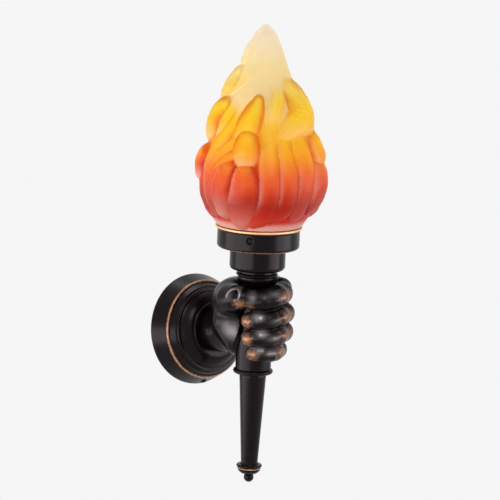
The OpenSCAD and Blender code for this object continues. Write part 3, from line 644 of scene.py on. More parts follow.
FINISHES = {
    "turned_bronze": Bronze("bronze_turned", Grain.TURNED),
    "cast_bronze": Bronze("bronze_cast", Grain.CAST, copper=(0.34, 0.15, 0.07), brown=(0.085, 0.032, 0.014),
                          roughness=0.24, gloss=0.12, mottle=0.9),
    "glass": FlameGlass(),
    "zinc": Plain("zinc_steel", (0.55, 0.56, 0.58), 1.0, 0.33),
    "black_screw": Plain("black_oxide_screw", (0.006, 0.006, 0.007), 0.0, 0.35, gloss=0.1),
    "brass": Plain("satin_brass", (0.72, 0.5, 0.2), 1.0, 0.3),
    "nylon": Plain("natural_nylon", (0.8, 0.78, 0.72), 0.0, 0.5),
    "green": Plain("green_screw", (0.03, 0.2, 0.05), 0.5, 0.4),
    "earth": Plain("earth_insulation", (0.25, 0.45, 0.05), 0.0, 0.45),
    "live": Plain("live_insulation", (0.14, 0.06, 0.03), 0.0, 0.45),
    "neutral": Plain("neutral_insulation", (0.03, 0.12, 0.42), 0.0, 0.45),
    "porcelain": Plain("glazed_porcelain", (0.82, 0.8, 0.74), 0.0, 0.15, 90),
    "opal": Plain("opal_lamp", (0.86, 0.84, 0.78), 0.0, 0.25, 60)}


@dataclass
class Palette:
    """All the finishes of the sconce, each made once.

    Attributes:
        made: the materials by the short names of their finishes.
    """

    made: dict[str, bpy.types.Material] = field(
        default_factory=lambda: {name: finish.build() for name, finish in FINISHES.items()})

    def __getitem__(self, name: str) -> bpy.types.Material:
        """The material of a finish."""
        return self.made[name]


def dress(piece: bpy.types.Object, material: bpy.types.Material, body: str = BODY,
          replaced: Sequence[str] = ()) -> None:
    """Gives a new piece its finish, its body and the nodes that it stands for.

    Args:
        piece: the new object.
        material: its finish.
        body: the body that it rides on.
        replaced: the construction nodes that it replaces.
    """
    piece.data.materials.clear()
    piece.data.materials.append(material)
    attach(piece, body)
    if replaced:
        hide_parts(*replaced)
    LOG.info("%s: %d faces", piece.name, len(piece.data.polygons))


def turn_bronze(name: str, node: str, profile: Sequence[tuple[float, float]], palette: Palette, sides: int,
                step: float, rubs: Sequence[Rub] = (), sink: Optional[Sink] = None,
                place: Callable[[Array], Array] = TORCH.to_frame) -> None:
    """Builds a turned bronze piece and puts it in its node's place.

    Args:
        name: name of the piece.
        node: the construction node that it replaces.
        profile: closed outline, as for turned().
        palette: the finishes.
        sides: number of points round the axis.
        step: longest chord of the outline in millimetres.
        rubs: rubbed edges.
        sink: screw holes in its wall.
        place: carries the piece's own points into the model's frame.
    """
    piece = turned(name, profile, place, sides, step, rubs, sink)
    dress(piece, palette["turned_bronze"], replaced=[node])


# ------------------------------------------------------------------ canopy


@dataclass
class Canopy:
    """The stepped wall dish.

    Attributes:
        radius: radius on the wall, in millimetres.
        depth: depth from the wall to the flat top.
        rim_depth: depth of the copper edge.
        wall: thickness.
        bore: radius of the nipple's hole.
    """

    radius: float = 58.3
    depth: float = 38.6
    rim_depth: float = 20.5
    wall: float = 2.0
    bore: float = 5.2

    def outline(self) -> list[tuple[float, float]]:
        """The outer outline from the wall up to the bore: radius and depth."""
        rim, ring, ring_depth, crown = self.radius - 6.2, self.radius - 14.7, self.depth - 9.8, 29.0
        swell = [(ring - 2.4 - (ring - crown - 2.4) * t, ring_depth + 0.4
                  + (self.depth - 2.1 - ring_depth) * math.sin(math.pi / 2 * t)) for t in np.linspace(0.1,
                                                                                                      0.9,
                                                                                                      14)]
        return [(self.radius, 0.0), (self.radius, 1.5), *arc((rim - 1.6, self.rim_depth - 1.6), 1.6, 15, 80),
                (rim - 3.2, self.rim_depth + 0.3), (ring + 2.6, ring_depth - 2.6),
                *arc((ring - 0.6, ring_depth - 0.9), 1.4, -10, 85), (ring - 2, ring_depth + 0.4), *swell,
                *arc((crown - 0.6, self.depth - 1), 1, -10, 90), (self.bore, self.depth)]

    def build(self, palette: Palette) -> None:
        """Builds the dish as one turned shell, with its copper edge."""
        outer = self.outline()
        inner = [(r - self.wall, max(0.0, h - self.wall)) for r, h in outer[1:-1]]
        inner = [(r, h) for r, h in inner if r > self.bore + 1]
        profile = outer + [(self.bore, self.depth - self.wall)] + inner[::-1] + [(self.radius - self.wall,
                                                                                  0.0)]
        rim = self.radius - 6.2
        rubs = [Rub(rim - 0.6, self.rim_depth - 0.5, 1.8, 0.64),
                Rub(self.radius - 14.2, self.depth - 9.6, 0.5, 0.25)]
        turn_bronze("canopy_dish", "canopy", profile, palette, 220, 0.7, rubs, place=from_wall)


# --------------------------------------------------------- turned torch parts


@dataclass
class TurnedTorch:
    """The grip tube, bead, shaft and finial below the fist, in millimetres.

    Attributes:
        grip: radius of the grip tube.
        grip_top: height of its top.
        grip_drop: depth of its lower end.
        bead: radius of the bead ring.
        bead_height: height of the bead ring.
        shaft_top: radius of the shaft's upper end.
        shaft_tip: radius of the shaft's lower end.
        shaft_length: length of the shaft.
        disc: radius of the finial's disc.
        ball: radius of the finial's ball.
        rod: radius of the hole for the rod.
    """

    grip: float = 18.5
    grip_top: float = 46.0
    grip_drop: float = 40.0
    bead: float = 20.75
    bead_height: float = 5.0
    shaft_top: float = 14.0
    shaft_tip: float = 8.7
    shaft_length: float = 96.2
    disc: float = 13.4
    ball: float = 5.2
    rod: float = 3.2

    def build(self, palette: Palette) -> None:
        """Builds the turned pieces below the cup."""
        inner, low = self.grip - 3, -self.grip_drop
        tube = [(inner, low), (self.grip - 0.3, low), (self.grip, low + 0.3), (self.grip,
                                                                               self.grip_top - 0.8),
                (self.grip - 0.8, self.grip_top), (5.05, self.grip_top), (5.05, self.grip_top - 8),
                (inner, self.grip_top - 8)]
        turn_bronze("grip_sleeve", "grip_tube", tube, palette, 150, 1.5)
        half = self.bead_height / 2
        bead = [(self.rod, low - self.bead_height),
                *arc((self.bead - half, low - half), half, -90, 90, 16), (self.rod, low)]
        turn_bronze("bead", "bead_ring", bead, palette, 150, 0.8)
        top, foot = low - self.bead_height, low - self.bead_height - self.shaft_length
        shaft = [(self.rod, foot), (self.shaft_tip, foot), (self.shaft_top, top - 1.5),
                 (self.shaft_top - 0.6, top),
                 (self.rod, top), (self.rod, top - 4), (self.shaft_top - 2.4, top - 4),
                 (self.shaft_tip - 2.0, foot + 4), (self.rod, foot + 4)]
        turn_bronze("shaft", "torch_shaft", shaft, palette, 130, 2.0)
        self._finial(palette, foot)

    def _finial(self, palette: Palette, foot: float) -> None:
        """Builds the disc with its copper line, the dome and the ball.

        Args:
            palette: the finishes.
            foot: height of the shaft's lower end.
        """
        edge, dome = foot - 5.2, 7.4
        crown = [((self.disc - 1.2) * math.cos(a), edge - dome * math.sin(a))
                 for a in np.radians(np.arange(74, 6, -6))]
        cap = [(self.rod, edge - dome), (4.2, edge - dome), *crown,
               (self.disc - 1.0, edge), (self.disc - 1.5, foot - 4.4),
               *arc((self.disc - 1.6, foot - 2.6), 1.6, -60, 75), (self.shaft_tip + 1.2, foot - 0.9),
               (self.shaft_tip + 0.6, foot), (self.rod, foot)]
        turn_bronze("finial_dome", "finial_cap", cap, palette, 130, 0.5,
                    [Rub(self.disc - 1.0, edge + 0.1, 0.6, 0.85)])
        base = edge - dome
        centre = base - 2.7
        ball = [(0.02, centre - self.ball), *arc((0, centre), self.ball, -88, 40, 22), (3.7, base), (0.02,
                                                                                                     base)]
        turn_bronze("finial_knob", "finial_ball", ball, palette, 72, 0.6,
                    [Rub(self.ball * 0.8, centre - self.ball * 0.5, 1.2, 0.3)])


@dataclass
class Cup:
    """The neck collar, the socket housing and the gallery cup, in millimetres.

    Attributes:
        bottom: height of the collar's lower end.
        collar: radius of the collar's ring.
        collar_height: height of the collar.
        housing: radius of the housing.
        housing_height: height of the housing.
        radius: radius of the cup's wall.
        height: height of the cup.
        lip: radius of the rolled lip.
        wall: thickness of the cup and the housing.
        bore: radius of the nipple's hole.
        screws: bearing of the first shade screw.
    """

    bottom: float = 46.0
    collar: float = 21.7
    collar_height: float = 18.7
    housing: float = 28.9
    housing_height: float = 22.8
    radius: float = 42.7
    height: float = 24.0
    lip: float = 45.0
    wall: float = 2.2
    bore: float = 5.2
    screws: float = 219.0

    def build(self, palette: Palette) -> None:
        """Builds the three turned pieces, from the collar up."""
        base, wide = self.bottom, 2 * self.collar
        bowl = [(wide * (0.12 + 0.33 * math.cos(a)), base + 10.6 + 9.4 * math.sin(a))
                for a in np.radians(np.arange(-72, 1, 6))]
        top = base + self.collar_height
        collar = [(self.bore, base), (wide * 0.26, base), *bowl, (wide * 0.45, base + 11.6),
                  (wide * 0.42, base + 12.4), *arc((self.collar - 1.3, base + 14), 1.3, -80, 80),
                  (wide * 0.44, base + 15.8), (wide * 0.44, top), (self.bore, top)]
        turn_bronze("collar", "neck_collar", collar, palette, 140, 0.6)
        self._housing(palette, top)
        self._gallery(palette, top + self.housing_height)

    def _housing(self, palette: Palette, base: float) -> None:
        """Builds the narrower step, a cup with a rounded heel.

        Args:
            palette: the finishes.
            base: height of its floor.
        """
        r, wall, top = self.housing, self.wall, base + self.housing_height
        outline = [(self.bore, base), *arc((r - 4.5, base + 4.5), 4.5, -90, 0, 12), (r, top), (r - wall, top),
                   *arc((r - 4.5, base + 4.5 + wall / 2), 4.5 - wall, 0, -90, 8), (self.bore, base + wall)]
        turn_bronze("housing_shell", "socket_housing", outline, palette, 150, 0.9)

    def _gallery(self, palette: Palette, base: float) -> None:
        """Builds the wider step with its rounded heel and rolled lip.

        Args:
            palette: the finishes.
            base: height of its floor.
        """
        r, h, lip, inner = self.radius, self.height, self.lip, self.radius - self.wall
        level = base + 0.56 * h
        wall = [(r, z) for z in np.arange(level - 4.2, level + 4.21, 0.3)]
        outline = [(self.bore, base), (r - 5, base), (r - 3.4, base + 0.5),
                   *arc((r - 3.2, base + 3.6), 3.2, -70, 0, 8), *wall, (r, base + h - 4.4),
                   (r + 0.5, base + h - 3.4), *arc((lip - 1.5, base + h - 1.5), 1.5, -60, 90, 10),
                   (inner, base + h), (inner, base + 2.6), (self.bore, base + 2.6)]
        rubs = [Rub(lip - 0.3, base + h - 1.6, 1.7, 1.15), Rub(r - 1.7, base + 0.9, 1.9, 0.6)]
        turn_bronze("gallery", "gallery_cup", outline, palette, 180, 0.8, rubs, Sink(self.screws, level))


# -------------------------------------------------------------------- flame


@dataclass(frozen=True)
class Tongue:
    """One tongue of the glass flame: a rounded ridge along a bent spine.

    Attributes:
        spine: its nodes from the lower end, each a bearing from the flame's
            front in degrees, a height as a share of the flame's, a half width
            and a swell in millimetres.
        deep: how much of the deep colour its low part holds.
        pale: how much of the pale colour its lower end holds.
        side: where the deep colour gathers: 1 on its right, -1 on its left
            and 0 on both sides.
        edge: strength of the deep colour at its edge.
    """

    spine: tuple
    deep: float = 0.0
    pale: float = 0.0
    side: float = 1.0
    edge: float = 1.0

    def path(self, parts: int = 3) -> Array:
        """The spine's nodes with smooth in-between ones, by cubic Hermite curves.

        Args:
            parts: pieces that each span is split into.
        Returns:
            The nodes, one a row.
        """
        nodes = np.array(self.spine, float)
        slope = np.gradient(nodes, axis=0)
        place = np.linspace(0, len(nodes) - 1, parts * (len(nodes) - 1) + 1)
        k = np.minimum(place.astype(int), len(nodes) - 2)
        u = (place - k)[:, None]
        return ((1 + 2 * u) * (1 - u) ** 2 * nodes[k] + u * (1 - u) ** 2 * slope[k]
                + u ** 2 * (3 - 2 * u) * nodes[k + 1] + u ** 2 * (u - 1) * slope[k + 1])


@dataclass
class Flame:
    """The glass flame, a shell whose radius is a function of turn and height.

    Attributes:
        front: bearing that the flame's front faces, in degrees.
        foot: height of the flame's foot on the torch axis, in millimetres.
        height: height of the flame.
        body: greatest radius under the tongues.
        wall: thickness of the glass.
        drift: how far the tip stands to the left of the axis.
        neck: radius of the neck in the cup.
        bead: radius of the bead at the neck's foot.
        floor: height of the neck's lower end.
        lip: height of the cup's lip.
        outline: pairs of height and radius, as shares of the flame's.
        rear: rows behind: count, first bearing, spacing, spine, lift of every
            second tongue's top, deep and pale tint.
    """

    front: float = 232.0
    foot: float = 112.1
    height: float = 208.0
    body: float = 62.0
    wall: float = 3.0
    drift: float = 1.0
    neck: float = 37.1
    bead: float = 39.3
    floor: float = 90.1
    lip: float = 111.5
    outline: tuple = ((0, 0.715), (0.031, 0.78), (0.078, 0.88), (0.145, 0.955), (0.217, 0.985), (0.3, 0.97),
                      (0.372, 0.915), (0.455, 0.84), (0.527, 0.77), (0.6, 0.69), (0.662, 0.595),
                      (0.734, 0.465), (0.796, 0.385), (0.879, 0.29), (0.95, 0.185), (0.972, 0.13),
                      (0.99, 0.07), (1, 0.012))
    rear: tuple = (
        (6, 106, 22, ((-6, 0.08, 10, 7), (0, 0.13, 14, 9), (2, 0.23, 15, 9), (0, 0.31, 9, 5)), 0.06, 0.3,
         0.4),
        (4, 118, 38, ((0, 0.38, 15, 8), (3, 0.43, 17, 9.4), (9, 0.48, 10, 6)), 0, 0, 0.4),
        (3, 126, 48, ((0, 0.55, 14, 7), (4, 0.60, 17, 8.8), (12, 0.65, 9, 5)), 0, 0, 0.5),
        (2, 140, 66, ((0, 0.71, 10, 5), (8, 0.76, 12, 6.6), (20, 0.81, 6, 3)), 0, 0, 0.4))

    def girth(self, rise: Array) -> Array:
        """Radius of the plain body at a share of the height."""
        shares = np.array(self.outline)
        return self.body * np.interp(rise, shares[:, 0], shares[:, 1])

    def tongues(self) -> list[Tongue]:
        """The tongues that face the room, then the rows behind."""
        front = [
            Tongue(((-40, 0.103, 11, 8), (-40, 0.186, 15, 9.5), (-37.5, 0.258, 15, 9.5), (-33, 0.31, 9, 7)),
                   0.1, 0.7),
            Tongue(((-22, 0.06, 12, 7.5), (-19, 0.114, 18, 10), (-15.5, 0.186, 19, 11), (-15, 0.258, 17,
                                                                                         10.5),
                    (-15.5, 0.305, 11, 8)), 0.95, 0.4),
            Tongue(((-8, 0.055, 9, 6), (3, 0.095, 13, 8.5), (7.5, 0.176, 14, 9.5), (8, 0.269, 14, 8),
                    (8, 0.35, 14, 5), (8, 0.42, 13, 2.6), (9, 0.50, 11, 0.4)), 0.8),
            Tongue(((11, 0.08, 9, 6), (22.5, 0.129, 13, 8.5), (26, 0.207, 14, 9), (26, 0.3, 14, 7.5),
                    (25, 0.37, 13, 4.6), (23, 0.44, 12, 2.2), (22, 0.50, 10, 0.3)), 0.8),
            Tongue(((36.5, 0.25, 5, 3), (38, 0.34, 7.5, 5), (37, 0.41, 9, 3), (34, 0.47, 8, 0.5)), 0),
            Tongue(((41, 0.11, 13, 5), (46, 0.207, 16, 7), (48, 0.29, 15, 7), (48, 0.393, 14, 5),
                    (44, 0.46, 13, 1.5)), 0.5, 0.1),
            Tongue(((66, 0.15, 15, 9), (68, 0.207, 22, 10.6), (70, 0.262, 22, 10.7), (73, 0.29, 14, 9)), 0.2,
                   0.25),
            Tongue(((74, 0.385, 18, 10.5), (71, 0.435, 13, 9.5)), 0, 0.5),
            Tongue(((4, 0.42, 5, 0.3), (20, 0.465, 8, 1.4), (38, 0.525, 13, 4), (60, 0.575, 23, 10),
                    (61, 0.635, 23, 9), (50, 0.695, 13, 3.5)), 0, 0.6, 1, 1.3),
            Tongue(((8, 0.54, 12, 0.4), (17, 0.61, 12, 2.6), (23, 0.68, 10, 2.6), (21, 0.72, 8, 0.4)), 0, 0,
                   1, 1.5),
            Tongue(((-64, 0.69, 8, 3), (-48, 0.75, 10, 2.6), (-32, 0.82, 10, 0.3)), 0, 0),
            Tongue(((-17, 0.382, 15, 8), (-17.5, 0.415, 16, 10), (-17, 0.462, 12, 9)), 0, 0.8, 0),
            Tongue(((-25, 0.43, 13, 2.5), (-21.5, 0.475, 15.5, 4.8), (-17.5, 0.53, 15.5, 6.8),
                    (-12.5, 0.588, 12.5, 6.9), (-9, 0.624, 9, 6), (-7.5, 0.645, 7, 5.4)), 0, 0.3, 0, 1.8),
            Tongue(((-50, 0.08, 4.5, 5), (-51.5, 0.207, 5, 8), (-48.5, 0.289, 5.5, 8.2), (-40, 0.348, 6, 7.5),
                    (-26, 0.385, 6, 4)), 0, 0.2),
            Tongue(((-55.5, 0.07, 4.5, 5), (-56, 0.207, 5.5, 7.8), (-53.5, 0.3, 6.5, 8), (-46, 0.377, 8, 7.6),
                    (-30, 0.44, 8, 4)), 0, 0.2),
            Tongue(((-61, 0.12, 5, 4), (-61.5, 0.31, 6.5, 7), (-57, 0.382, 8, 7), (-47, 0.465, 9.5, 6),
                    (-38, 0.53, 9, 3.5), (-30, 0.59, 8, 0.5)), 0, 0.3, -1, 1.4),
            Tongue(((-56, 0.47, 7, 5), (-52, 0.53, 9, 5), (-47, 0.58, 10, 3), (-40, 0.63, 10, 0.4)), 0, 0.5),
            Tongue(((-76, 0.475, 12, 8.5), (-82, 0.527, 17, 9.8), (-76, 0.573, 15, 9), (-62, 0.605, 10, 4)),
                   0, 0.9, 0, 1.3),
            Tongue(((-84, 0.27, 12, 8), (-86, 0.32, 16, 9.1), (-78, 0.362, 10, 8.5)), 0.3, 1.0, 0, 1.8),
            Tongue(((-74, 0.093, 13, 3), (-76, 0.17, 15, 4), (-74, 0.235, 10, 3)), 0.5, 0, -1),
            Tongue(((-83, 0.675, 11, 7.5), (-78, 0.715, 16, 8.8), (-69, 0.757, 10, 4.5)), 0, 0.6, -1),
            Tongue(((-70, 0.83, 8, 3.4), (-64, 0.88, 9, 3.8), (-46, 0.925, 6, 1)), 0, 0.3, -1)]
        rear = []
        for count, first, spacing, spine, lift, deep, pale in self.rear:
            for i in range(count):
                nodes = [(first + spacing * i + b, h, w, s) for b, h, w, s in spine]
                b, h, w, s = nodes[-1]
                nodes[-1] = (b, h + lift * (i % 2), w, s)
                rear.append(Tongue(tuple(nodes), deep, pale))
        return front + rear

    def relief(self, turn: Array, rise: Array) -> tuple[Array, Array, Array, Array]:
        """Swell of the glass over its plain body, its two tints and its lanes.

        The glass is unrolled into a plane of millimetres. There a tongue's
        closeness is 1 - (distance to its spine / half width)^2, its height is
        its swell times closeness^0.6, and the highest tongue wins. The deep
        colour gathers at a tongue's upper edge, in its creases and on its dark
        side, the pale one at its lower end; where a tongue flattens out, both
        give way to those of the bare body.

        Args:
            turn: bearing from the front in degrees.
            rise: height as a share of the flame's.
        Returns:
            The swell in millimetres, the deep and the pale tint from 0 to 1, and
            the lane, which grows across the tongues and guides the streaks.
        """
        scale = np.radians(self.girth(rise) + 5)
        best = np.zeros(np.broadcast(turn, rise).shape)
        deep = best + (1 - 0.82 * smoothstep(0.26, 0.40, rise) - 0.1 * smoothstep(0.52, 0.66, rise))
        lane = best + turn / 12
        pale = best + smoothstep(0.5, 0.64, rise) + 0.9 * (1 - smoothstep(0.015, 0.05, rise))
        for index, tongue in enumerate(self.tongues()):
            close, height, right = np.zeros(best.shape), np.zeros(best.shape), np.zeros(best.shape)
            for (b0, h0, w0, s0), (b1, h1, w1, s1) in zip(tongue.path()[:-1], tongue.path()[1:]):
                ax, ay = (b1 - b0) * scale, (h1 - h0) * self.height
                x = ((turn - b0 + 180) % 360 - 180) * scale
                y = (rise - h0) * self.height
                t = np.clip((x * ax + y * ay) / (ax * ax + ay * ay), 0, 1)
                width = w0 + (w1 - w0) * t
                q = 1 - ((x - t * ax) ** 2 + (y - t * ay) ** 2) / width ** 2
                dome = (s0 + (s1 - s0) * t) * np.maximum(q, 0) ** 0.6
                nearer = q > close
                height = np.where(nearer, dome, height)
                close = np.where(nearer, q, close)
                right = np.where(nearer, (x * ay - y * ax) / np.hypot(ax, ay) / width, right)
            bottom = tongue.spine[0][1] - tongue.spine[0][2] / self.height
            top = max(n[1] for n in tongue.spine)
            along = (rise - bottom) / (top - bottom)
            shaded = 0.3 + 0.7 * smoothstep(-0.2, 0.9, right * tongue.side) if tongue.side else 0.75
            dark = tongue.edge * shaded
            edge = (1 - close) * dark * (0.55 + 1.15 * smoothstep(0.3, 1.0, along)) + 0.9 * (1 - close) ** 3
            gathered = edge + tongue.deep * (1 - smoothstep(0.10, 0.26, rise)) * np.maximum(close, 0) ** 0.5
            low = tongue.pale * (1 - smoothstep(0.0, 0.65, along)) * np.maximum(close, 0) ** 0.4
            rim = 0.28 * np.exp(-(((right * tongue.side + 0.75) / 0.2) ** 2)) * smoothstep(0.1, 0.18, rise)
            low = np.maximum(low, rim * (1 - smoothstep(0.35, 0.5, rise)) * abs(tongue.side))
            stands = np.where(height > best, smoothstep(0.3, 3.0, height), 0)
            best = np.maximum(best, height)
            deep = deep + (np.clip(gathered * (1 - low), 0, 1) - deep) * stands
            pale = pale + (low - pale) * stands
            lane = np.where(stands > 0.4, right + 7.3 * index, lane)
        return best, deep, pale, lane

    def build(self, palette: Palette, cols: int = 420, rows: int = 200) -> None:
        """Builds the flame and its neck as one closed shell.

        Args:
            palette: the finishes.
            cols: points round the axis.
            rows: rings from the foot to the tip.
        """
        turn = np.linspace(0, 360, cols, endpoint=False)
        rise = np.linspace(0, 0.996, rows)[:, None]
        swell, deep, pale, lane = self.relief(turn[None, :] - self.front, rise)
        drift = self.drift * smoothstep(0.42, 0.87, rise)
        outer = self._rings(self.girth(rise) + swell, drift, self.foot + rise * self.height, turn)
        plain = [(self.foot, self.neck - self.wall), (self.floor, self.neck - self.wall),
                 (self.floor, self.bead - 0.8), (self.floor + 1.4, self.bead), (self.floor + 4.4, self.bead),
                 (self.floor + 6.2, self.neck), (self.lip - 1.4, self.neck), (self.foot, self.neck + 2)]
        inside_rise = np.arange(0.86, 0.03, -0.04)[:, None]
        inside_r = self.girth(inside_rise) - self.wall
        inside = self._rings(inside_r + 0 * turn, self.drift * smoothstep(0.42, 0.87, inside_rise),
                             self.foot + inside_rise * self.height, turn)
        heights, radii = np.array(plain).T
        neck = self._rings(radii[:, None] + 0 * turn, 0 * radii[:, None], heights[:, None], turn)
        local = np.vstack([inside, neck, outer])
        below = np.vstack([inside_rise + 0 * turn, 0 * neck[:, :, 0]])
        values = {"rise": np.vstack([below, rise + 0 * turn]), "deep": np.vstack([0.4 + 0 * below, deep]),
                  "pale": np.vstack([0 * below, pale]), "lane": np.vstack([0 * below, lane])}
        count = len(local)
        points = np.vstack([local.reshape(-1, 3), inside[0].mean(0)[None], outer[-1].mean(0)[None] + [0, 0,
                                                                                                      0.4]])
        quads = grid_quads(count, cols, False)
        c, right = np.arange(cols), (np.arange(cols) + 1) % cols
        start, tip = count * cols, count * cols + 1
        last = (count - 1) * cols
        caps = np.vstack([np.stack([right, c, np.full(cols, start)], -1),
                          np.stack([last + c, last + right, np.full(cols, tip)], -1)])
        flat = {k: np.concatenate([v.reshape(-1), [v[0, 0], v[-1, 0]]]) for k, v in values.items()}
        glass = make_object("flame_glass", TORCH.to_frame(points * MM), quads, flat, caps, sharp=80)
        dress(glass, palette["glass"], replaced=["flame_shade"])

    def _rings(self, radius: Array, drift: Array, height: Array, turn: Array) -> Array:
        """Points of rings: radius and turn about an axis that drifts sideways.

        Args:
            radius: radius at each ring and turn.
            drift: sideways shift of each ring.
            height: height of each ring.
            turn: bearings in degrees.
        Returns:
            Points in millimetres in the torch's frame.
        """
        side = math.radians(self.front - 90)
        a = np.radians(turn)[None, :]
        x = radius * np.cos(a) + drift * math.cos(side)
        y = radius * np.sin(a) + drift * math.sin(side)
        return np.stack([x, y, height + 0 * x], axis=-1)


# --------------------------------------------------------------------- fist


def round_cone(p: Array, a: Array, b: Array, ra: float, rb: float) -> Array:
    """Distance to the hull of two spheres.

    Along the axis the share t = clamp((p - a) . (b - a) / |b - a|^2), the
    distance is |p - a - t (b - a)| - (ra + t (rb - ra)), which is close enough
    to exact for gentle tapers.

    Args:
        p: points as rows.
        a: centre of the first sphere.
        b: centre of the second sphere.
        ra: radius of the first sphere.
        rb: radius of the second sphere.
    Returns:
        The distance of each point, negative inside.
    """
    axis = b - a
    t = np.clip(((p - a) @ axis) / (axis @ axis), 0, 1)
    return np.linalg.norm(p - a - t[..., None] * axis, axis=-1) - (ra + t * (rb - ra))


def blend(a: Array, b: Array, width: float) -> Array:
    """Joins two distances with a fillet: min - (max(w - |a - b|, 0))^2 / 4w."""
    gap = np.maximum(width - np.abs(a - b), 0)
    return np.minimum(a, b) - gap * gap / (4 * width)


@dataclass
class Fist:
    """The cast hand and wrist, worked out as a distance field, in millimetres.

    A joint is (bearing about the torch axis, distance from it, height, radius).

    Attributes:
        cell: size of the field's cells.
        wrist: radius of the wrist at the canopy.
        canopy_depth: depth of the canopy's top from the wall.
        bore: radius of the passage for the grip tube.
        fingers: joints of the four fingers, from the tip.
        thumb: joints of the thumb.
        web: joints of the skin between thumb and forefinger.
        palm: pairs of joints that fill the palm and the back of the hand.
        rubbed: rubbed spots: bearing, height, reach along and across, strength.
        polished_and_highlight_spots: spots that hands have polished, written alike;
            they also carry a painted highlight where the lamps' reflections fall.
        nail: bearing and height of the thumbnail.
        nail_groove: distance of the groove from the nail's centre.
        nail_rim: distance of the rim.
        nail_line: width of either.
    """

    cell: float = 0.75
    wrist: float = 23.5
    canopy_depth: float = 38.6
    bore: float = 18.8
    fingers: tuple = (
        ((223, 27.4, 35.4, 8.2), (229.5, 28, 35.8, 8.6), (246, 28.8, 36.9, 10.6), (264, 28.8, 38.2, 10.4),
         (284, 27.2, 40.3, 11.2), (311, 26.5, 41.5, 11.2), (4, 27, 40, 12.5)),
        ((218.5, 28.4, 15.8, 8.3), (225, 29.2, 15.9, 8.6), (240, 30.2, 16.2, 10.2), (260, 30.6, 17, 9.9),
         (284, 30.2, 19.3, 10.5), (310, 30, 21, 10.6), (6, 30, 18.5, 12.5)),
        ((219.5, 28, -2.6, 8.2), (226, 28.8, -2.4, 8.4), (240, 29.6, -2, 9.9), (261, 30, -1.8, 9.6),
         (284, 29.6, -0.2, 10.2), (310, 29.5, 1.3, 10.4), (6, 29, -1, 11.5)),
        ((230, 26.2, -18.7, 7.8), (236, 26.8, -18.8, 8), (250, 27.2, -18.9, 9), (269, 26.6, -18.8, 8.8),
         (288, 25.4, -18.8, 9), (314, 24.6, -18.2, 9.2), (6, 24.5, -17, 10)))
    thumb: tuple = ((104, 27, 22, 18), (138, 27, 30, 17), (164, 27.5, 34.5, 14.2), (183, 28.2, 36.6, 11.6),
                    (197.5, 28.4, 37.4, 10.2))
    web: tuple = ((205, 25, 39.5, 8.5), (250, 25, 38, 8), (290, 25, 39, 8.5), (330, 26, 45, 10), (20, 27, 45,
                                                                                                  12))
    palm: tuple = (((128, 24, 34, 17.5), (136, 24, 10, 19)), ((136, 24, 10, 19), (122, 17, -12, 16)),
                   ((70, 24, 32, 17), (62, 22, -8, 16)), ((70, 24, 32, 17), (4, 27, 40, 12.5)),
                   ((66, 24, 18, 18), (6, 30, 18.5, 12.5)), ((64, 23, 2, 18), (6, 29, -1, 11.5)),
                   ((62, 22, -8, 16), (6, 24.5, -17, 10)), ((104, 27, 22, 18), (128, 24, 34, 17.5)),
                   ((100, 28, 40, 11), (40, 29, 42, 11.5)))
    rubbed: tuple = ((291, 41.5, 17, 8, 0.72), (293, 20, 17, 8, 0.72), (293, 0.5, 16, 8, 0.72),
                     (290, -18.5, 13, 7.5, 0.7), (221, 32, 7, 5, 0.4), (216, 15.5, 7.5, 7.5, 0.8),
                     (218, -3, 7.5, 7.5, 0.8), (228.5, -19.5, 7, 7, 0.8), (204, 33.5, 7, 5.5, 0.8))
    polished_and_highlight_spots: tuple = ((236.5, 21.4, 5.5, 3.4, 0.72), (243, 3.9, 5.5, 3.4, 0.72), (240, -14.2, 5.5, 3.2, 0.5),
                       (225, 42, 4, 4.5, 0.5), (247, 43, 7, 3, 0.15), (263, 45, 7, 3, 0.3), (181, 1, 8.5,
                                                                                             8.5, 1.0),
                       (186, 41, 3.5, 4, 0.25), (262, 17, 7, 3, 0.15), (262, -1, 8, 3, 0.3), (262, -17, 8, 3,
                                                                                              0.4))
    nail: tuple = (193.5, 41)
    nail_groove: float = 4.9
    nail_rim: float = 6.6
    nail_line: float = 0.9

    @staticmethod
    def joint(j: Sequence[float]) -> Array:
        """Centre of a joint in the torch's frame."""
        a = math.radians(j[0])
        return np.array([j[1] * math.cos(a), j[1] * math.sin(a), j[2]])

    def chain(self, p: Array, joints: Sequence[Sequence[float]], width: float) -> Array:
        """Distance to a finger: its bones, each a cone, joined by fillets."""
        bones = [round_cone(p, self.joint(a), self.joint(b), a[3], b[3]) for a, b in zip(joints[:-1],
                                                                                         joints[1:])]
        total = bones[0]
        for bone in bones[1:]:
            total = blend(total, bone, width)
        return total

    def field(self, p: Array) -> Array:
        """Distance of points in the torch's frame to the hand's surface."""
        palm = self.chain(p, self.palm[0], 1)
        for a, b in self.palm[1:]:
            palm = blend(palm, round_cone(p, self.joint(a), self.joint(b), a[3], b[3]), 9)
        palm = blend(palm, self.chain(p, self.web, 5), 4)
        palm = blend(palm, self.chain(p, self.thumb, 7), 5)
        world = TORCH.to_frame(p * MM) / MM
        ends = [np.array([0, -self.canopy_depth + 4, 0]), np.array([0, -self.canopy_depth - 14, 0]),
                np.array([0, -self.canopy_depth - 34, 8])]
        palm = blend(palm, round_cone(world, ends[0], ends[1], self.wrist, self.wrist - 2.5), 10)
        palm = blend(palm, round_cone(world, ends[1], ends[2], self.wrist - 2.5, 23), 10)
        hand = palm
        for finger in self.fingers:
            hand = np.where(np.abs(hand) < 60, blend(hand, self.chain(p, finger, 3.5), 1.6), hand)
        radial = np.hypot(p[..., 0], p[..., 1])
        hand = np.maximum(hand, self.bore - radial)
        hand = np.maximum(hand, self.bore + (p[..., 2] - 46) * 0.36 - radial)
        return np.maximum(hand, world[..., 1] + self.canopy_depth)

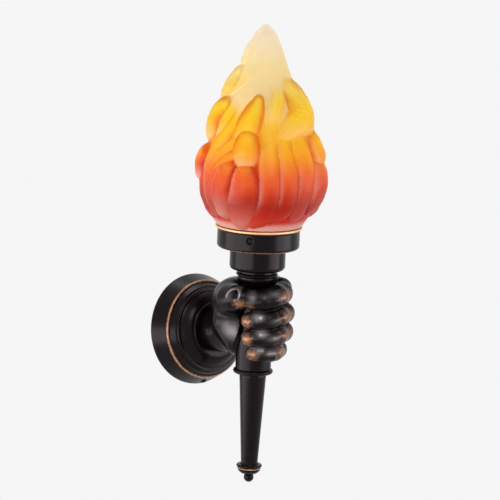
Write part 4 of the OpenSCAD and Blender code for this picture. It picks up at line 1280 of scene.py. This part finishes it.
    def build(self, palette: Palette) -> None:
        """Builds the hand as the level surface of its field."""
        low, high = np.array([-52.0, -48, -36]), np.array([50.0, 74, 62])
        counts = np.ceil((high - low) / self.cell).astype(int)
        axes = [low[i] + self.cell * np.arange(counts[i]) for i in range(3)]
        points = np.stack(np.meshgrid(*axes, indexing="ij"), axis=-1)
        values = self.field(points.reshape(-1, 3)).reshape(tuple(counts))
        local, quads = surface_net(values, low, self.cell)
        for _ in range(3):
            local = self._settle(local, quads)
        # The rubbed spots are real wear; the polished spots are partly polish and partly painted highlight.
        wear, polish_and_highlight = self._spots(local, self.rubbed), self._spots(local, self.polished_and_highlight_spots)
        local, rim = self._nail(local)
        # The thumbnail's rim gets a painted highlight: a pale lilac-grey arc, with a faint brown line through
        # the wear.
        wear, polish_and_highlight = np.maximum(wear, 0.2 * rim), np.maximum(polish_and_highlight, 0.95 * rim)
        hand = make_object("cast_fist", TORCH.to_frame(local * MM), quads,
                           {"wear": wear, "polish_and_highlight": polish_and_highlight}, sharp=60)
        dress(hand, palette["cast_bronze"], replaced=["fist"])

    def _settle(self, p: Array, quads: Array) -> Array:
        """Evens the net out and lays it back on the field's zero surface.

        Args:
            p: vertices in the torch's frame.
            quads: faces.
        Returns:
            The moved vertices.
        """
        total, count = np.zeros_like(p), np.zeros(len(p))
        for k in range(4):
            a, b = quads[:, k], quads[:, (k + 1) % 4]
            np.add.at(total, a, p[b])
            np.add.at(count, a, 1)
        p = 0.5 * p + 0.5 * total / np.maximum(count, 1)[:, None]
        e = 0.25
        d = self.field(p)
        gradient = np.stack([self.field(p + np.eye(3)[i] * e) - d for i in range(3)], axis=-1) / e
        length = np.maximum(np.linalg.norm(gradient, axis=-1), 0.3)
        return p - np.clip(d / length, -0.6, 0.6)[:, None] * gradient / length[:, None]

    def _unrolled(self, p: Array, bearing: float, height: float) -> tuple[Array, Array]:
        """Offsets of points from a spot on the hand.

        Args:
            p: vertices in the torch's frame.
            bearing: the spot's bearing in degrees.
            height: the spot's height.
        Returns:
            Offsets along the bearing, very large next to the torch, and up.
        """
        radial = np.hypot(p[:, 0], p[:, 1])
        turn = (np.degrees(np.arctan2(p[:, 1], p[:, 0])) - bearing + 180) % 360 - 180
        return np.where(radial > 24, np.radians(turn) * radial, 99), p[:, 2] - height

    def _nail(self, p: Array) -> tuple[Array, Array]:
        """Presses the groove round the thumbnail and raises its rim.

        At the distance d from the nail's centre the surface sinks towards the
        torch by exp(-((d - groove) / line)^2), and rises likewise in a rim round
        the groove; both fade out below the nail.

        Args:
            p: vertices in the torch's frame.
        Returns:
            The moved vertices and how far each lies on the rim, from 0 to 1.
        """
        across, up = self._unrolled(p, *self.nail)
        d = np.hypot(across, up * 0.85)
        open_end = 1 - smoothstep(-1.0, 3.5, -up)
        rim = np.exp(-(((d - self.nail_rim) / self.nail_line) ** 2)) * open_end
        sunk = np.exp(-(((d - self.nail_groove) / self.nail_line) ** 2)) * open_end - rim
        radial = np.hypot(p[:, 0], p[:, 1])[:, None]
        return p - p * np.array([1, 1, 0]) / radial * sunk[:, None], rim

    def _spots(self, p: Array, spots: Sequence[Sequence[float]]) -> Array:
        """Strength of soft spots on the fingers, the highest one winning.

        Each spot gives strength * exp(-(a / along)^2 - (b / across)^2), where
        a and b are the offsets along the finger and across it.

        Args:
            p: vertices in the torch's frame.
            spots: rows of bearing, height, along, across and strength.
        Returns:
            The strength at each vertex.
        """
        total = np.zeros(len(p))
        for bearing, height, along, across, strength in spots:
            a, b = self._unrolled(p, bearing, height)
            total = np.maximum(total, strength * np.exp(-((a / along) ** 2) - (b / across) ** 2))
        return total


def surface_net(values: Array, low: Array, cell: float) -> tuple[Array, Array]:
    """Net of quads over the zero surface of a field.

    Each cell that the surface crosses gets one vertex, at the mean of the
    crossings on its twelve edges; each crossed grid edge gets the quad of the
    four cells round it, turned to face out of the negative side.

    Args:
        values: the field on a regular grid.
        low: the grid's first point.
        cell: the grid's step.
    Returns:
        Vertices, and quads of their numbers.
    """
    nx, ny, nz = values.shape
    inside = values < 0
    total = np.zeros((nx - 1, ny - 1, nz - 1, 3))
    count = np.zeros((nx - 1, ny - 1, nz - 1))
    crossed = []
    for axis in range(3):
        a = np.take(values, range(values.shape[axis] - 1), axis=axis)
        b = np.take(values, range(1, values.shape[axis]), axis=axis)
        hit = (a < 0) != (b < 0)
        crossed.append(hit)
        share = np.where(hit, a / np.where(hit, a - b, 1), 0)
        grid = np.stack(np.meshgrid(*[np.arange(n) for n in a.shape], indexing="ij"), axis=-1).astype(float)
        grid[..., axis] += share
        others = [i for i in range(3) if i != axis]
        for da in (0, 1):
            for db in (0, 1):
                window = [slice(None)] * 3
                for other, shift in zip(others, (da, db)):
                    size = values.shape[other] - 1
                    window[other] = slice(shift, shift + size)
                part = tuple(window)
                total += np.where(hit[part][..., None], grid[part], 0)
                count += hit[part]
    active = count > 0
    number = np.full(active.shape, -1)
    number[active] = np.arange(active.sum())
    points = low + cell * (total[active] / count[active][:, None])
    quads = []
    for axis in range(3):
        hit = crossed[axis]
        window = [slice(1, -1)] * 3
        window[axis] = slice(None)
        index = np.argwhere(hit[tuple(window)])
        others = [i for i in range(3) if i != axis]
        shift = np.ones(3, int)
        shift[axis] = 0
        index = index + shift
        out = ~inside[tuple((index + np.eye(3, dtype=int)[axis]).T)]
        corners = []
        for da, db in ((1, 1), (0, 1), (0, 0), (1, 0)):
            at = index.copy()
            at[:, others[0]] -= da
            at[:, others[1]] -= db
            corners.append(number[tuple(at.T)])
        quad = np.stack(corners, axis=-1)
        flip = out if axis != 1 else ~out
        quads.append(np.where(flip[:, None], quad, quad[:, ::-1]))
    return points, np.vstack(quads)


# ------------------------------------------------------------- inner fittings


@dataclass
class Fittings:
    """Finishes of the pieces that keep their construction shapes.

    Attributes:
        kept: the nodes that each finish goes on.
    """

    kept: dict[str, tuple[str, ...]] = field(default_factory=lambda: {
        "zinc": ("wall_bracket", "block_screw", "arm_nipple", "arm_washer", "arm_nut", "grip_plug",
                 "shaft_rod", "socket_nipple", "cup_nut", "holder_strap", "holder_screws", "lamp_cap"),
        "black_screw": ("set_screw_1", "set_screw_2", "set_screw_3", "canopy_screw"),
        "brass": ("terminal_screws", "earth_tag", "screw_shell", "centre_contact"),
        "nylon": ("terminal_block",), "green": ("earth_screw",), "earth": ("earth_lead",),
        "live": ("live_lead",), "neutral": ("neutral_lead",), "porcelain": ("lampholder",),
        "opal": ("lamp_globe",)})

    def build(self, palette: Palette) -> None:
        """Gives each kept node its material."""
        for finish, names in self.kept.items():
            for name in names:
                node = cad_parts[name]
                node.data.materials.clear()
                node.data.materials.append(palette[finish])


# -------------------------------------------------------------------- studio


@dataclass
class Studio:
    """Camera, floor, background and lamps.

    Attributes:
        azimuth: camera's turn about the vertical, in degrees.
        elevation: camera's height angle, in degrees.
        roll: turn of the picture against the clock, in degrees.
        distance: distance of the camera from the object.
        picture: width of the picture at the object, in metres.
        across: place of the frame's origin from the picture's centre, to the left.
        down: place of the frame's origin from the picture's centre, downwards.
        pale: brightness of the background.
        soft: brightness of the light all round.
        floor_half: half the floor's width.
        floor_height: height of the floor.
        target: point that the lamps face.
        boxes: lamps: name, place right, up and forward of the target, width,
            height and power.
    """

    azimuth: float = -38.0
    elevation: float = 3.0
    roll: float = 3.6
    distance: float = 4.0
    picture: float = 0.5295
    across: float = 54.9 * 1.059 * MM
    down: float = 78.45 * 1.059 * MM
    pale: float = 0.92
    soft: float = 0.28
    floor_half: float = 6.0
    floor_height: float = -0.42
    target: tuple = (0, -0.11, 0.1)
    boxes: tuple = (("left_box", (-1.06, -0.36, -0.56), 2.1, 0.62, 18.5),
                    ("right_box", (1.25, -0.36, -0.3), 1.2, 0.62, 12.5),
                    ("top_box", (0.34, 0.62, -1.15), 0.45, 0.5, 5.0),
                    ("over_box", (0.0, 1.4, 0.25), 1.1, 0.7, 8.5),
                    ("low_box", (-0.5, -1.1, -0.7), 0.9, 0.5, 6.5))

    def axes(self) -> tuple[Vector, Vector, Vector]:
        """The camera's right, up and forward directions."""
        a, e, r = (math.radians(v) for v in (self.azimuth, self.elevation, self.roll))
        forward = Vector((-math.sin(a) * math.cos(e), math.cos(a) * math.cos(e), -math.sin(e)))
        right = Vector((math.cos(a), math.sin(a), 0))
        up = right.cross(forward)
        return right * math.cos(r) - up * math.sin(r), up * math.cos(r) + right * math.sin(r), forward

    def camera(self) -> None:
        """Makes the camera at the photograph's viewing angle."""
        right, up, forward = self.axes()
        target = right * self.across + up * self.down
        data = bpy.data.cameras.new("camera")
        data.sensor_width = 36
        data.lens = 36 * self.distance / self.picture
        data.clip_end = 50
        lens = linked("camera", data)
        turn = Matrix((right, up, -forward)).transposed().to_4x4()
        turn.translation = target - forward * self.distance
        lens.matrix_world = turn
        bpy.context.scene.camera = lens

    def _seen(self, tree: bpy.types.NodeTree) -> bpy.types.NodeSocket:
        """Socket that is 1 for camera, glossy and transmission rays."""
        path = tree.nodes.new("ShaderNodeLightPath")
        total = path.outputs["Is Camera Ray"]
        for name in ("Is Glossy Ray", "Is Transmission Ray"):
            node = tree.nodes.new("ShaderNodeMath")
            node.operation = "MAXIMUM"
            tree.links.new(total, node.inputs[0])
            tree.links.new(path.outputs[name], node.inputs[1])
            total = node.outputs[0]
        return total

    def world(self) -> None:
        """Makes the pale background and the soft light all round."""
        world = bpy.data.worlds.new("studio")
        world.use_nodes = True
        tree = world.node_tree
        tree.nodes.clear()
        output = tree.nodes.new("ShaderNodeOutputWorld")
        mix = tree.nodes.new("ShaderNodeMixShader")
        tree.links.new(self._seen(tree), mix.inputs[0])
        for slot, strength in ((1, self.soft), (2, self.pale)):
            node = tree.nodes.new("ShaderNodeBackground")
            node.inputs["Color"].default_value = (1, 1, 1, 1)
            node.inputs["Strength"].default_value = strength
            tree.links.new(node.outputs[0], mix.inputs[slot])
        tree.links.new(mix.outputs[0], output.inputs["Surface"])
        bpy.context.scene.world = world

    def floor(self) -> None:
        """Makes the pale floor well below the finial."""
        mesh = bpy.data.meshes.new("floor")
        s, z = self.floor_half, self.floor_height
        mesh.from_pydata([(-s, -s, z), (s, -s, z), (s, s, z), (-s, s, z)], [], [(0, 1, 2, 3)])
        floor = linked("floor", mesh)
        n = Nodes("studio_floor")
        cloth = n.add("BsdfDiffuse", {"Color": (0.8, 0.8, 0.8, 1)})
        glow = n.add("Emission", {"Color": (1, 1, 1, 1), "Strength": self.pale})
        mix = n.add("MixShader", {0: self._seen(n.tree), 1: cloth.outputs[0], 2: glow.outputs[0]})
        mesh.materials.append(n.surface(mix.outputs[0]))

    def lamps(self) -> None:
        """Hangs the softboxes and turns each to the target."""
        right, up, forward = self.axes()
        target = Vector(self.target)
        for name, place, wide, tall, power in self.boxes:
            data = bpy.data.lights.new(name, "AREA")
            data.shape, data.size, data.size_y, data.energy = "RECTANGLE", wide, tall, power
            lamp = linked(name, data)
            lamp.location = target + right * place[0] + up * place[1] + forward * place[2]
            lamp.rotation_euler = (target - lamp.location).to_track_quat("-Z", "Y").to_euler()

    def build(self) -> None:
        """Sets up the whole studio."""
        self.camera()
        self.world()
        self.floor()
        self.lamps()
        bpy.context.scene.view_settings.view_transform = "Standard"


def main() -> None:
    """Builds the studio and every part of the sconce."""
    logging.basicConfig(level=logging.INFO, format="%(message)s")
    Studio().build()
    palette = Palette()
    for part in (Canopy(), TurnedTorch(), Cup(), Flame(), Fist(), Fittings()):
        part.build(palette)
        LOG.info("%s done", type(part).__name__)


if __name__ == "__main__":
    main()
